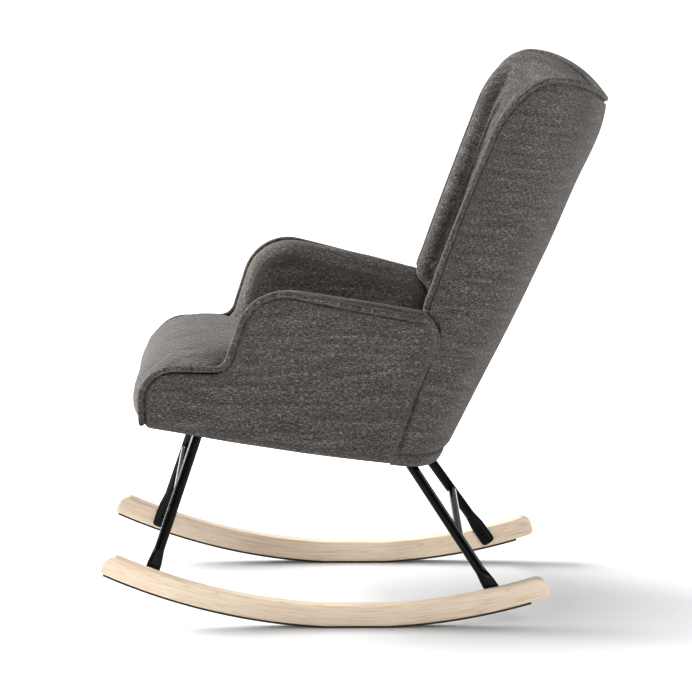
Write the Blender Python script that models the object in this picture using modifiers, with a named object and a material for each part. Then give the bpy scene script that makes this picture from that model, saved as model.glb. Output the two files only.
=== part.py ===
"""Wing-back rocking chair on bent-wood rockers, modelled piece by piece as it would come apart on a bench.

Metres, +Z up. The chair faces -Y and +X is the sitter's left. The origin is on the floor under the middle of
the chair, between the two places where the rockers touch down.
"""

import math

import bmesh
import bpy
import numpy as np
from mathutils import Matrix, Vector

SIDES = {"left": 1, "right": -1}
GAP = 0.0003  # left between pieces that touch

# Rockers: bent strips of ash whose running edge is one arc, with a flat where the chair stands still.
RUN_RADIUS = 1.084
RUN_STEP = math.radians(2.9)
ROCKER_X = 0.26
ROCKER_WIDTH = 0.030
ROCKER_DEPTH = 0.037
ROCKER_FRONT = math.radians(-24.65)
ROCKER_REAR = math.radians(18.3)
STRIP_DEPTH = 0.003
STRIP_WIDTH = 0.028
STRIP_FRONT = math.radians(-24.2)
STRIP_REAR = math.radians(16.4)
WOOD_RADIUS = RUN_RADIUS - STRIP_DEPTH - GAP

# Steel legs: round tube, pressed flat at the foot where a screw holds it to the rocker's inner face.
TUBE_RADIUS = 0.00925
FOOT_HALF_WIDTH = 0.0125
FOOT_HALF_THICK = 0.003
FOOT_LENGTH = 0.042
FOOT_SHOULDER = 0.024
FOOT_SCREW = 0.018
LEG_FACE = ROCKER_X - ROCKER_WIDTH / 2 - GAP
LEGS = {
    "front": {"foot": (-0.3675, 0.0715), "lean": 0.340, "top_x": 0.195, "bar": 0.2265},
    "rear": {"foot": (0.2545, 0.0395), "lean": -0.677, "top_x": 0.180, "bar": 0.146},
}
BAR_RADIUS = 0.008

# The seat base slopes down to the rear. BASE_Z is the height of its underside over the origin.
BASE_Z = 0.3045
BASE_TILT = math.radians(8.34)
PLATE_THICK = 0.004
PLATE_TOP = 0.0025
RAIL_LOW = 0.003
RAIL_HIGH = 0.043
RAIL_THICK = 0.022
FRONT_RAIL = {"y": -0.356, "half": 0.2490}
REAR_RAIL = {"y": 0.100, "half": 0.1830}
SIDE_RAIL_END = 0.0835
BLOCK_HIGH = 0.028
BLOCKS = {"front": ((0.150, -0.333), (0.226, -0.238)), "rear": ((0.130, 0.010), (0.195, 0.088))}
FOAM_LOW = 0.053
FOAM_HIGH = 0.108
SPRING_HEIGHT = 0.047
SPRING_RADIUS = 0.0016
SPRING_X = (-0.11, 0.0, 0.11)
SPRING_Y = (-0.340, 0.105)
SPRING_HOOK = 0.010
SPRING_SWING = 0.020
SPRING_WAVES = 8
FOAM_HALF = (
    (0.255, -0.367),
    (0.255, -0.2465),
    (0.218, -0.2465),
    (0.196, 0.0),
    (0.178, 0.047),
    (0.125, 0.096),
)
FRONT_ROLL_LOW = (-0.2495, -0.389, 0.362)
FRONT_ROLL_HIGH = (0.2495, -0.3575, 0.450)
DUST_COVER_HALF = (
    (0.140, -0.345),
    (0.140, -0.228),
    (0.222, -0.228),
    (0.222, 0.005),
    (0.125, 0.005),
    (0.125, 0.100),
)
DUST_COVER_THICK = 0.0012
DUST_COVER_MIDDLE = 0.0014

# Each side: outline as (y, z, corner radius), and how far the outer face stands from the middle.
SIDE_CORNERS = {
    "toe": (-0.368, 0.357, 0.010),
    "seat_front": (-0.374, 0.4575, 0.055),
    "arm_root": (-0.224, 0.4575, 0.035),
    "arm_front": (-0.174, 0.610, 0.075),
    "arm_rear": (0.1525, 0.5345, 0.035),
    "heel": (0.063, 0.2895, 0.012),
}
SIDE_X = 0.345
TAPER_Y = (-0.45, -0.30, -0.20, -0.10, 0.0, 0.10, 0.18)
TAPER_X = (-0.024, -0.012, 0.0, 0.0, -0.012, -0.035, -0.056)
FLARE_Z = (0.28, 0.36, 0.457, 0.53, 0.60, 0.64)
FLARE_X = (-0.064, -0.058, -0.045, -0.022, 0.0, 0.012)
SKIN = 0.003
PLY = 0.015
ARM_THICK = 0.065
BOXING = 0.009
PIPE_RADIUS = 0.0055

# The back: a rounded barrel. Its plan at every height is half of a superellipse of this depth.
BACK_DEPTH = 0.21
BACK_HALF_WIDTH = 0.262
BACK_SPREAD = 0.45
BACK_SPREAD_FROM = 0.60
REAR_Z = (0.28, 0.346, 0.636, 0.763, 0.83, 0.863, 0.899, 0.94, 0.99)
REAR_Y = (0.160, 0.194, 0.339, 0.395, 0.4265, 0.4385, 0.446, 0.450, 0.4505)
EDGE_Z = (0.28, 0.480, 0.495, 0.510, 0.527, 0.538, 0.546, 0.556, 0.60, 0.99)
EDGE_Y = (0.0620, 0.1345, 0.1405, 0.1440, 0.1445, 0.1395, 0.1320, 0.1250, 0.1385, 0.2875)
SEAM_RISE = 0.0073
BAND_DROP = 0.0085
BACK_TOP = 0.8985
TOP_RISE = 0.0570
TOP_POWER = 1.8
TOP_SHOULDER = 0.80
CORNER_DROP = 0.088
BACK_PIPE_RADIUS = 0.005
FRAME_OUT = 0.0055
FRAME_IN = 0.0265
PAD_OUT = 0.032
PAD_IN = 0.075
RAIL_HALF_ANGLE = 43
TOP_RAIL = (0.055, 0.012)
BOTTOM_RAIL = (0.350, 0.392)
WEBBING_HALF_ANGLE = 52
WEBBING_Z = (0.40, 0.83)
WEBBING_DEPTHS = (0.0285, 0.0298)
BAND_DEPTHS = (0.004, 0.008)
PAD_LOW = 0.356
PANEL_LOW = 0.306
PANEL_DROP = 0.012
PANEL_INNER = math.radians(44)
PANEL_OUTER = math.radians(53)
PANEL_SHORT = math.radians(5)
PIPE_LOW = 0.600

BOLT_HEAD_RADIUS = 0.0065
BOLT_HEAD = 0.003
BOLT_RADIUS = 0.0029
BOLT_REACH = 0.022
SCREW_HEAD_RADIUS = 0.0048
SCREW_HEAD = 0.0022
SCREW_RADIUS = 0.0023
SCREW_REACH = 0.024


# ---------------------------------------------------------------- helpers


def clear_scene():
    for thing in list(bpy.data.objects):
        bpy.data.objects.remove(thing, do_unlink=True)


def new_collection(name):
    made = bpy.data.collections.new(name)
    bpy.context.scene.collection.children.link(made)
    return made


def new_material(name, color, roughness, metallic=0.0):
    made = bpy.data.materials.new(name)
    made.use_nodes = True
    shader = made.node_tree.nodes["Principled BSDF"]
    shader.inputs["Base Color"].default_value = (*color, 1.0)
    shader.inputs["Roughness"].default_value = roughness
    shader.inputs["Metallic"].default_value = metallic
    made.diffuse_color = (*color, 1.0)
    return made


def make_materials():
    return {
        "fabric": new_material("grey_weave", (0.090, 0.082, 0.076), 0.95),
        "foam": new_material("foam", (0.72, 0.66, 0.45), 0.9),
        "ash": new_material("ash", (0.70, 0.53, 0.36), 0.5),
        "ply": new_material("plywood", (0.60, 0.45, 0.28), 0.6),
        "paint": new_material("black_paint", (0.012, 0.012, 0.013), 0.25),
        "rubber": new_material("black_rubber", (0.02, 0.02, 0.02), 0.7),
        "zinc": new_material("zinc", (0.55, 0.56, 0.58), 0.35, 1.0),
        "lining": new_material("black_lining", (0.03, 0.03, 0.03), 0.95),
    }


def finish(name, shape, material):
    """Turns a bmesh into a named part with its faces pointing out."""
    bmesh.ops.recalc_face_normals(shape, faces=shape.faces)
    if shape.calc_volume(signed=True) < 0:
        bmesh.ops.reverse_faces(shape, faces=shape.faces)
    mesh = bpy.data.meshes.new(name)
    shape.to_mesh(mesh)
    shape.free()
    mesh.shade_smooth()
    mesh.set_sharp_from_angle(angle=math.radians(35))
    mesh.materials.append(MATERIALS[material])
    part = bpy.data.objects.new(name, mesh)
    PARTS.objects.link(part)
    return part


def rounded(corners, turn=math.radians(15)):
    """One list of points per corner: an arc where the corner has a radius, else the corner itself."""
    arcs = []
    for i, (u, v, radius) in enumerate(corners):
        here = Vector((u, v))
        before = (Vector(corners[i - 1][:2]) - here).normalized()
        after = (Vector(corners[(i + 1) % len(corners)][:2]) - here).normalized()
        if radius == 0:
            arcs.append([(u, v)])
            continue
        half = before.angle(after) / 2
        centre = here + (before + after).normalized() * radius / math.sin(half)
        start = here + before * radius / math.tan(half) - centre
        end = here + after * radius / math.tan(half) - centre
        sweep = start.angle_signed(end)
        count = max(2, math.ceil(abs(sweep) / turn))
        first = math.atan2(start.y, start.x)
        arcs.append(
            [
                (
                    centre.x + radius * math.cos(first - sweep * k / count),
                    centre.y + radius * math.sin(first - sweep * k / count),
                )
                for k in range(count + 1)
            ]
        )
    return arcs


def joined(arcs):
    return [point for arc in arcs for point in arc]


def inset(points, distance, closed=True):
    """The points moved to the right of their direction of travel, which is inwards on a clockwise outline."""
    moved = []
    count = len(points)
    for i, point in enumerate(points):
        before = points[i - 1] if closed or i > 0 else point
        after = points[(i + 1) % count] if closed or i < count - 1 else point
        along = [Vector(point) - Vector(before), Vector(after) - Vector(point)]
        along = [step.normalized() for step in along if step.length > 1e-9]
        normals = [Vector((step.y, -step.x)) for step in along]
        middle = sum(normals, Vector((0, 0))).normalized()
        moved.append(tuple(Vector(point) + middle * distance / middle.dot(normals[0])))
    return moved


def flat_shape(outline, thickness):
    """A bmesh of a flat outline given in x and y, with its thickness half above and half below z = 0."""
    curve = bpy.data.curves.new("outline", "CURVE")
    curve.dimensions = "2D"
    curve.fill_mode = "BOTH"
    curve.extrude = thickness / 2
    spline = curve.splines.new("POLY")
    spline.points.add(len(outline) - 1)
    for point, (u, v) in zip(spline.points, outline):
        point.co = (u, v, 0.0, 1.0)
    spline.use_cyclic_u = True
    guide = bpy.data.objects.new("outline", curve)
    bpy.context.scene.collection.objects.link(guide)
    evaluated = guide.evaluated_get(bpy.context.evaluated_depsgraph_get())
    mesh = bpy.data.meshes.new_from_object(evaluated)
    shape = bmesh.new()
    shape.from_mesh(mesh)
    bpy.data.objects.remove(guide)
    bpy.data.curves.remove(curve)
    bpy.data.meshes.remove(mesh)
    bmesh.ops.remove_doubles(shape, verts=shape.verts, dist=1e-6)
    return shape


def tube(name, points, radius, material, resolution=2):
    """A wire, cord or tube through the points, with its ends filled."""
    curve = bpy.data.curves.new(name, "CURVE")
    curve.dimensions = "3D"
    curve.bevel_depth = radius
    curve.bevel_resolution = resolution
    curve.use_fill_caps = True
    spline = curve.splines.new("POLY")
    spline.points.add(len(points) - 1)
    for point, place in zip(spline.points, points):
        point.co = (*place, 1.0)
    spline.use_smooth = True
    curve.materials.append(MATERIALS[material])
    part = bpy.data.objects.new(name, curve)
    PARTS.objects.link(part)
    return part


def box(name, low, high, material, parent=None):
    """A board between two corners, in the parent's frame."""
    bpy.ops.mesh.primitive_cube_add(size=1)
    part = bpy.context.object
    part.name = part.data.name = name
    low, high = Vector(low), Vector(high)
    part.data.transform(Matrix.Diagonal((*(high - low), 1.0)))
    part.location = (low + high) / 2
    part.parent = parent
    part.data.materials.append(MATERIALS[material])
    move_to(part, PARTS)
    return part


def move_to(part, collection):
    for holder in list(part.users_collection):
        holder.objects.unlink(part)
    collection.objects.link(part)


def cylinder(name, radius, length, matrix, sides=16):
    """A plain cylinder along its own z, standing on the matrix's origin."""
    bpy.ops.mesh.primitive_cylinder_add(vertices=sides, radius=radius, depth=length)
    made = bpy.context.object
    made.name = made.data.name = name
    made.data.transform(Matrix.Translation((0, 0, length / 2)))
    made.matrix_world = matrix
    return made


def cut(part, cutter):
    """Takes the cutter's shape out of the part."""
    cutter.hide_render = True
    cutter.display_type = "WIRE"
    move_to(cutter, CUTTERS)
    modifier = part.modifiers.new("cut", "BOOLEAN")
    modifier.operation = "DIFFERENCE"
    modifier.object = cutter


def turned(name, profile, matrix, material, sides=12):
    """A turned piece: the profile's (radius, height) points, top to bottom, spun about z."""
    mesh = bpy.data.meshes.new(name)
    edges = [(i, i + 1) for i in range(len(profile) - 1)]
    mesh.from_pydata([(r, 0, z) for r, z in profile], edges, [])
    mesh.materials.append(MATERIALS[material])
    part = bpy.data.objects.new(name, mesh)
    part.matrix_world = matrix
    PARTS.objects.link(part)
    spin = part.modifiers.new("spin", "SCREW")
    spin.steps = spin.render_steps = sides
    spin.use_merge_vertices = True
    spin.merge_threshold = 1e-5
    return part


def fastener(name, matrix, head_radius, head, radius, reach, material="zinc"):
    """A button-headed screw whose head's underside lies on the matrix's origin, its shank along +z."""
    profile = [
        (0.0, reach),
        (radius * 0.8, reach),
        (radius, reach - radius * 0.5),
        (radius, 0.0),
        (head_radius, 0.0),
        (head_radius * 0.8, -head * 0.8),
        (head_radius * 0.4, -head),
        (0.0, -head),
    ]
    return turned(name, profile, matrix, material)


def loft(name, rings, material):
    """A closed skin through rings of equal count, with a face over each end."""
    shape = bmesh.new()
    rows = [[shape.verts.new(point) for point in ring] for ring in rings]
    count = len(rows[0])
    for low, high in zip(rows, rows[1:]):
        for k in range(count):
            shape.faces.new((low[k], low[(k + 1) % count], high[(k + 1) % count], high[k]))
    shape.faces.new(rows[0])
    shape.faces.new(rows[-1])
    return finish(name, shape, material)


# ---------------------------------------------------------------- rockers


def on_arc(radius, angle):
    """(y, z) on a circle about the rockers' centre, which puts the flat under the chair at z = 0."""
    return radius * math.sin(angle), RUN_RADIUS * math.cos(RUN_STEP) - radius * math.cos(angle)


def arc(radius, first, last):
    """Points along a rocker's arc. There is none at the middle, so the chair stands on a flat there."""
    steps = range(math.ceil(first / RUN_STEP), math.floor(last / RUN_STEP) + 1)
    angles = [first, *[k * RUN_STEP for k in steps if k != 0], last]
    return [on_arc(radius, angle) for angle in angles]


def upright(shape, x):
    """Turns a flat shape drawn in (y, z) so that its thickness lies along x, and moves it there."""
    turn = Matrix(((0, 0, 1, x), (1, 0, 0, 0), (0, 1, 0, 0), (0, 0, 0, 1)))
    bmesh.ops.transform(shape, matrix=turn, verts=shape.verts)
    return shape


def rocker(name, side):
    top = WOOD_RADIUS - ROCKER_DEPTH
    low = [(y, z, 0) for y, z in arc(WOOD_RADIUS, ROCKER_FRONT, ROCKER_REAR)]
    high = [(y, z, 0) for y, z in arc(top, ROCKER_FRONT, ROCKER_REAR)]
    low[0], low[-1] = (*low[0][:2], 0.004), (*low[-1][:2], 0.009)
    high[0], high[-1] = (*high[0][:2], 0.010), (*high[-1][:2], 0.010)
    outline = joined(rounded(low + high[::-1], math.radians(30)))
    shape = upright(flat_shape(outline, ROCKER_WIDTH), side * ROCKER_X)
    part = finish(name, shape, "ash")
    edge = part.modifiers.new("eased_edges", "BEVEL")
    edge.width = 0.0015
    edge.segments = 1
    edge.limit_method = "ANGLE"
    edge.angle_limit = math.radians(60)
    return part


def rocker_strip(name, side):
    low = arc(RUN_RADIUS, STRIP_FRONT, STRIP_REAR)
    high = arc(RUN_RADIUS - STRIP_DEPTH, STRIP_FRONT, STRIP_REAR)
    shape = upright(flat_shape(low + high[::-1], STRIP_WIDTH), side * ROCKER_X)
    return finish(name, shape, "rubber")


# ---------------------------------------------------------------- legs


def base_matrix():
    """The seat base's frame: x across, y down the slope to the rear, z out of its top."""
    return Matrix.Translation((0, 0, BASE_Z)) @ Matrix.Rotation(-BASE_TILT, 4, "X")


def in_base(point):
    return base_matrix().inverted() @ Vector(point)


def leg_line(leg):
    """The leg's foot end and the point where it meets the plate."""
    y, z = leg["foot"]
    foot = Vector((LEG_FACE - FOOT_HALF_THICK, y, z))
    drop = in_base((0, y, z)).z
    climb = in_base((0, y + leg["lean"], z + 1)).z - drop
    height = (PLATE_TOP - PLATE_THICK - GAP - drop) / climb
    top = Vector((leg["top_x"], y + leg["lean"] * height, z + height))
    return foot, top


def leg_ring(centre, across, inward, width, thick, sides=16):
    """An ellipse of points about the centre."""
    angles = [2 * math.pi * k / sides for k in range(sides)]
    return [centre + across * width * math.cos(a) + inward * thick * math.sin(a) for a in angles]


def foot_half_width(distance):
    """The pressed foot's half width near its end, which has small rounded corners."""
    corner = 0.005
    if distance >= corner:
        return FOOT_HALF_WIDTH
    return FOOT_HALF_WIDTH - corner + math.sqrt(corner**2 - (corner - distance) ** 2)


def leg_stations():
    """(distance from the foot's end, half width, half thickness) for each ring of the foot."""
    flat = [(d, foot_half_width(d), FOOT_HALF_THICK) for d in (0.0, 0.0015, 0.005, FOOT_LENGTH)]
    for share in (0.33, 0.67, 1.0):
        width = FOOT_HALF_WIDTH + (TUBE_RADIUS - FOOT_HALF_WIDTH) * share
        thick = FOOT_HALF_THICK + (TUBE_RADIUS - FOOT_HALF_THICK) * share
        flat.append((FOOT_LENGTH + FOOT_SHOULDER * share, width, thick))
    return flat


def leg(name, side, leg_data):
    foot, top = leg_line(leg_data)
    slope = (top - foot).normalized()
    across = Vector((0, slope.z, -slope.y)).normalized()
    upward = Vector((0, -across.z, across.y))
    rings = []
    for distance, width, thick in leg_stations():
        centre = foot + upward * distance
        centre.x = LEG_FACE - thick
        rings.append(leg_ring(centre, across, Vector((1, 0, 0)), width, thick))
    shoulder = foot + upward * (FOOT_LENGTH + FOOT_SHOULDER)
    shoulder.x = LEG_FACE - TUBE_RADIUS
    axis = (top - shoulder).normalized()
    inward = across.cross(axis).normalized()
    rings.append(leg_ring(shoulder + axis * 0.02, across, inward, TUBE_RADIUS, TUBE_RADIUS))
    rings.append(leg_end(top, axis, across, inward))
    for ring in rings:
        for point in ring:
            point.x *= side
    part = loft(name, rings, "paint")
    cut(part, cylinder(name + "_hole", SCREW_RADIUS + GAP, 0.03, screw_matrix(leg_data, side, 0.02)))
    return part


def leg_end(top, axis, across, inward):
    """The tube's upper end, cut parallel to the plate that it is welded to."""
    normal = base_matrix().to_3x3() @ Vector((0, 0, 1))
    ring = leg_ring(top, across, inward, TUBE_RADIUS, TUBE_RADIUS)
    return [point + axis * ((top - point).dot(normal) / axis.dot(normal)) for point in ring]


def screw_matrix(leg_data, side, back=0.0):
    """Where a foot's screw goes in: its head on the foot's inner face, pointing out through the rocker."""
    foot, top = leg_line(leg_data)
    upward = Vector((0, top.y - foot.y, top.z - foot.z)).normalized()
    place = foot + upward * FOOT_SCREW
    place.x = side * (LEG_FACE - 2 * FOOT_HALF_THICK - GAP - back)
    outward = Matrix.Rotation(side * math.pi / 2, 4, "Y")
    return Matrix.Translation(place) @ outward


def crossbar(name, leg_data):
    """The tube between a pair of legs, its ends shaped to sit against them."""
    foot, top = leg_line(leg_data)
    share = (leg_data["bar"] - foot.z) / (top.z - foot.z)
    y = foot.y + (top.y - foot.y) * share
    reach = foot.x + (top.x - foot.x) * share
    across = Matrix.Translation((-reach, y, leg_data["bar"])) @ Matrix.Rotation(math.pi / 2, 4, "Y")
    part = cylinder(name, BAR_RADIUS, 2 * reach, across)
    part.data.materials.append(MATERIALS["paint"])
    move_to(part, PARTS)
    for side in SIDES.values():
        cut(part, leg_sleeve(f"{name}_saddle_{side}", leg_data, side))
    return part


def leg_sleeve(name, leg_data, side):
    """A cylinder that follows a leg's tube and stands just clear of it."""
    foot, top = leg_line(leg_data)
    upward = Vector((0, top.y - foot.y, top.z - foot.z)).normalized()
    shoulder = foot + upward * (FOOT_LENGTH + FOOT_SHOULDER)
    shoulder.x = LEG_FACE - TUBE_RADIUS
    low, high = shoulder.copy(), top.copy()
    low.x, high.x = low.x * side, high.x * side
    turn = (high - low).to_track_quat("Z", "Y").to_matrix().to_4x4()
    matrix = Matrix.Translation(low) @ turn
    return cylinder(name, TUBE_RADIUS + 2 * GAP, (high - low).length, matrix, sides=32)


def leg_bolts(leg_data):
    """Where a plate's two bolts go, in the seat base's frame, seen from the leg."""
    top = in_base(leg_line(leg_data)[1])
    toward_middle = -math.copysign(1.0, top.y)
    return [(top.x - 0.033, top.y + 0.010 * toward_middle), (top.x, top.y + 0.032 * toward_middle)]


def leg_plate(name, side, leg_data, base):
    """The steel plate on top of a leg."""
    bolts = leg_bolts(leg_data)
    top = in_base(leg_line(leg_data)[1])
    low_y = min(top.y, bolts[1][1]) - 0.016
    high_y = max(top.y, bolts[1][1]) + 0.016
    low = Vector((top.x - 0.048, low_y, PLATE_TOP - PLATE_THICK))
    high = Vector((top.x + 0.018, high_y, PLATE_TOP))
    if side < 0:
        low.x, high.x = -high.x, -low.x
    part = box(name, low, high, "paint", base)
    for x, y in bolts:
        drill(part, side * x, y)
    return part


def drill(part, x, y):
    """A bolt's hole up into the seat base."""
    matrix = base_matrix() @ Matrix.Translation((x, y, -0.01))
    hole = cylinder(f"{part.name}_hole", BOLT_RADIUS + GAP, 0.01 + BOLT_REACH, matrix, sides=12)
    cut(part, hole)


def leg_bolt(name, side, place):
    x, y = place
    under = PLATE_TOP - PLATE_THICK - GAP
    matrix = base_matrix() @ Matrix.Translation((side * x, y, under))
    fastener(name, matrix, BOLT_HEAD_RADIUS, BOLT_HEAD, BOLT_RADIUS, BOLT_REACH)


def build_legs(base):
    for place, leg_data in LEGS.items():
        crossbar(f"crossbar_{place}", leg_data)
        for hand, side in SIDES.items():
            leg(f"leg_{place}_{hand}", side, leg_data)
            leg_plate(f"leg_plate_{place}_{hand}", side, leg_data, base)
            screw = screw_matrix(leg_data, side)
            sizes = (SCREW_HEAD_RADIUS, SCREW_HEAD, SCREW_RADIUS, SCREW_REACH)
            fastener(f"foot_screw_{place}_{hand}", screw, *sizes, material="paint")
            for number, bolt in enumerate(leg_bolts(leg_data), 1):
                leg_bolt(f"plate_bolt_{place}_{hand}_{number}", side, bolt)


def build_rockers():
    for hand, side in SIDES.items():
        part = rocker(f"rocker_{hand}", side)
        rocker_strip(f"rocker_strip_{hand}", side)
        for place, leg_data in LEGS.items():
            matrix = screw_matrix(leg_data, side)
            hole = cylinder(f"{part.name}_{place}_pilot", SCREW_RADIUS + GAP, SCREW_REACH + 0.001, matrix)
            cut(part, hole)


# ---------------------------------------------------------------- seat base


def cross_rail(name, rail, base):
    """A rail across the chair, in front or at the rear of the seat."""
    low = (-rail["half"], rail["y"], RAIL_LOW)
    high = (rail["half"], rail["y"] + RAIL_THICK, RAIL_HIGH)
    box(name, low, high, "ash", base)


def build_rails(base):
    cross_rail("seat_rail_front", FRONT_RAIL, base)
    cross_rail("seat_rail_rear", REAR_RAIL, base)
    start = FRONT_RAIL["y"] + RAIL_THICK + GAP
    ends = [(start, RAIL_LOW), (start, RAIL_HIGH), (SIDE_RAIL_END, RAIL_HIGH), (SIDE_RAIL_END, RAIL_LOW)]
    outline = [tuple(base_matrix() @ Vector((0, y, w)))[1:] for y, w in ends]
    for hand, side in SIDES.items():
        depth = SKIN + PLY + 2 * GAP
        side_slab(f"seat_rail_{hand}", outline, depth, depth + RAIL_THICK, side, "ash")


def build_corner_blocks(base):
    for place, ((x1, y1), (x2, y2)) in BLOCKS.items():
        for hand, side in SIDES.items():
            low_x, high_x = sorted((side * x1, side * x2))
            name = f"corner_block_{place}_{hand}"
            part = box(name, (low_x, y1, RAIL_LOW), (high_x, y2, BLOCK_HIGH), "ply", base)
            for x, y in leg_bolts(LEGS[place]):
                drill(part, side * x, y)


def sinuous_spring(name, x, base):
    """A zigzag wire from the front rail to the rear one."""
    start, end = SPRING_Y
    steps = SPRING_WAVES * 6
    points = [(x, start - SPRING_HOOK, SPRING_HEIGHT)]
    for k in range(steps + 1):
        swing = SPRING_SWING * math.sin(2 * math.pi * k * SPRING_WAVES / steps)
        points.append((x + swing, start + (end - start) * k / steps, SPRING_HEIGHT))
    points.append((x, end + SPRING_HOOK, SPRING_HEIGHT))
    part = tube(name, points, SPRING_RADIUS, "zinc", resolution=1)
    part.parent = base


def mirrored(half):
    """A whole outline from its half on the sitter's left."""
    return list(half) + [(-x, y) for x, y in reversed(half)]


def base_layer(name, half, thickness, middle, material, base):
    """A flat layer of the seat, at a height above the base's underside."""
    layer = finish(name, flat_shape(mirrored(half), thickness), material)
    layer.location.z = middle
    layer.parent = base


def build_seat(base):
    build_rails(base)
    build_corner_blocks(base)
    for number, x in enumerate(SPRING_X, 1):
        sinuous_spring(f"seat_spring_{number}", x, base)
    foam = (FOAM_HIGH - FOAM_LOW, (FOAM_LOW + FOAM_HIGH) / 2)
    base_layer("seat_foam", FOAM_HALF, *foam, "foam", base)
    box("seat_front_roll", FRONT_ROLL_LOW, FRONT_ROLL_HIGH, "fabric")
    base_layer("dust_cover", DUST_COVER_HALF, DUST_COVER_THICK, DUST_COVER_MIDDLE, "lining", base)


# ---------------------------------------------------------------- sides and arms


def spread(y, z):
    """How far a side's outer face stands from the middle: it tapers to the rear and flares upwards."""
    return SIDE_X + np.interp(y, TAPER_Y, TAPER_X) + np.interp(z, FLARE_Z, FLARE_X)


def slice_at(shape, axis, places):
    """Adds edges where the shape crosses planes, so that it can follow a bend there."""
    for place in places:
        normal = Vector((0, 0, 0))
        normal[axis] = 1
        everything = shape.verts[:] + shape.edges[:] + shape.faces[:]
        bmesh.ops.bisect_plane(shape, geom=everything, plane_co=normal * place, plane_no=normal, dist=1e-6)


def side_slab(name, outline, outer, inner, side, material):
    """A layer of the chair's side, between two depths measured inwards from the outer face."""
    shape = upright(flat_shape(outline, inner - outer), -(outer + inner) / 2)
    slice_at(shape, 1, TAPER_Y)
    slice_at(shape, 2, FLARE_Z)
    for corner in shape.verts:
        corner.co.x = side * (corner.co.x + spread(corner.co.y, corner.co.z))
    return finish(name, shape, material)


def side_arcs():
    return dict(zip(SIDE_CORNERS, rounded(list(SIDE_CORNERS.values()))))


def arm_path():
    """The outline over the arm, from above the seat in front to behind the arm."""
    arcs = side_arcs()
    root = arcs["arm_root"]
    return root[len(root) // 2 :] + arcs["arm_front"] + arcs["arm_rear"]


def arm_pad_outline():
    """The foam on the arm's inner face, down to the seat rail."""
    over = inset(arm_path(), BOXING + GAP, closed=False)
    return over + [(0.0755, 0.352), (-0.213, 0.388)]


def build_sides():
    outline = joined(list(side_arcs().values()))
    over = arm_path()
    band = over + inset(over, BOXING, closed=False)[::-1]
    ply_out = SKIN + GAP
    ply_in = ply_out + PLY
    for hand, side in SIDES.items():
        side_slab(f"side_cover_{hand}", outline, 0.0, SKIN, side, "fabric")
        side_slab(f"arm_panel_{hand}", inset(outline, BOXING + GAP), ply_out, ply_in, side, "ply")
        side_slab(f"arm_pad_{hand}", arm_pad_outline(), ply_in + GAP, ARM_THICK, side, "foam")
        side_slab(f"arm_boxing_{hand}", band, ply_out, ARM_THICK, side, "fabric")
        side_piping(f"side_piping_{hand}", side)


def side_piping(name, side):
    """The welt round the side: up the front, over the seat's edge and over the arm to the wing."""
    arcs = side_arcs()
    over = arcs["seat_front"] + arcs["arm_root"] + arcs["arm_front"]
    edge = arcs["toe"][len(arcs["toe"]) // 2 :] + over + arcs["arm_rear"][:1]
    route = inset(edge, -(PIPE_RADIUS + GAP), closed=False)
    points = [(side * (spread(y, z) - SKIN), y, z) for y, z in route]
    tube(name, points, PIPE_RADIUS, "fabric")


# ---------------------------------------------------------------- back


def plan_power(z):
    """The plan's superellipse power: squarer near the seat, round at the top."""
    return 3.0 - (z - 0.30) / 0.63


def plan_half_width(z):
    return BACK_HALF_WIDTH + BACK_SPREAD * max(0.0, z - BACK_SPREAD_FROM) ** 2


def plan_point(angle, z):
    """(x, y) of the back's outer face: angle 0 is the middle of the rear and 90 degrees the wing's front."""
    power = 2.0 / plan_power(z)
    x = plan_half_width(z) * math.copysign(abs(math.sin(angle)) ** power, angle)
    y = np.interp(z, REAR_Z, REAR_Y) - BACK_DEPTH + BACK_DEPTH * abs(math.cos(angle)) ** power
    return Vector((x, y))


def back_point(angle, z, depth):
    """A point at a depth under the back's outer face, measured level and square to it."""
    step = math.radians(1.0)
    along = plan_point(angle + step, z) - plan_point(angle - step, z)
    inward = Vector((-along.y, along.x)).normalized()
    if inward.y > 0:
        inward = -inward
    place = plan_point(angle, z) + inward * depth
    return Vector((place.x, place.y, z))


def edge_angle(z):
    """The angle at which the back ends forwards, found by halving."""
    goal = np.interp(z, EDGE_Z, EDGE_Y)
    low, high = 0.0, math.radians(89)
    for _ in range(40):
        middle = (low + high) / 2
        if plan_point(middle, z).y > goal:
            low = middle
        else:
            high = middle
    return low


def top_edge(share):
    """Height of the back's top: low in the middle, rising to the wings and rounded off at their corners."""
    share = min(abs(share), 1.0)
    rise = math.sin(math.pi / 2 * min(share / TOP_SHOULDER, 1.0)) ** TOP_POWER
    beyond = max(0.0, (share - TOP_SHOULDER) / (1 - TOP_SHOULDER))
    return BACK_TOP + TOP_RISE * rise - CORNER_DROP * (1 - math.sqrt(1 - beyond**2))


def toward_edges(share):
    """Spaces columns more closely towards -1 and 1, where the top edge turns its corners."""
    return 1.5 * share - 0.5 * share**3


def seam_height(share, rise):
    """A line round the back's foot, at a height above the sloping plane of the seat base."""
    place = plan_point(share * edge_angle(BASE_Z), BASE_Z)
    return BASE_Z - math.tan(BASE_TILT) * place.y + rise


def to_edges(z):
    angle = edge_angle(z)
    return -angle, angle


def clear_of_arms(z):
    """Beside the arms the pad stops short, to leave room for them; on the wings it reaches the edge."""
    angle = edge_angle(z) - math.radians(np.interp(z, (0.58, 0.66), (8.0, 0.0)))
    return -angle, angle


def wing_panel_angles(side):
    """The frame board at one side of the back: a post behind the arm, as wide as the wing above it."""

    def angles(z):
        wing = np.interp(z, (0.58, 0.66), (0.0, 1.0))
        outer = PANEL_OUTER + wing * (edge_angle(z) - PANEL_SHORT - PANEL_OUTER)
        return tuple(sorted((side * PANEL_INNER, side * outer)))

    return angles


def mix(ends, share):
    return ends[0] + (ends[1] - ends[0]) * share


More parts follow.
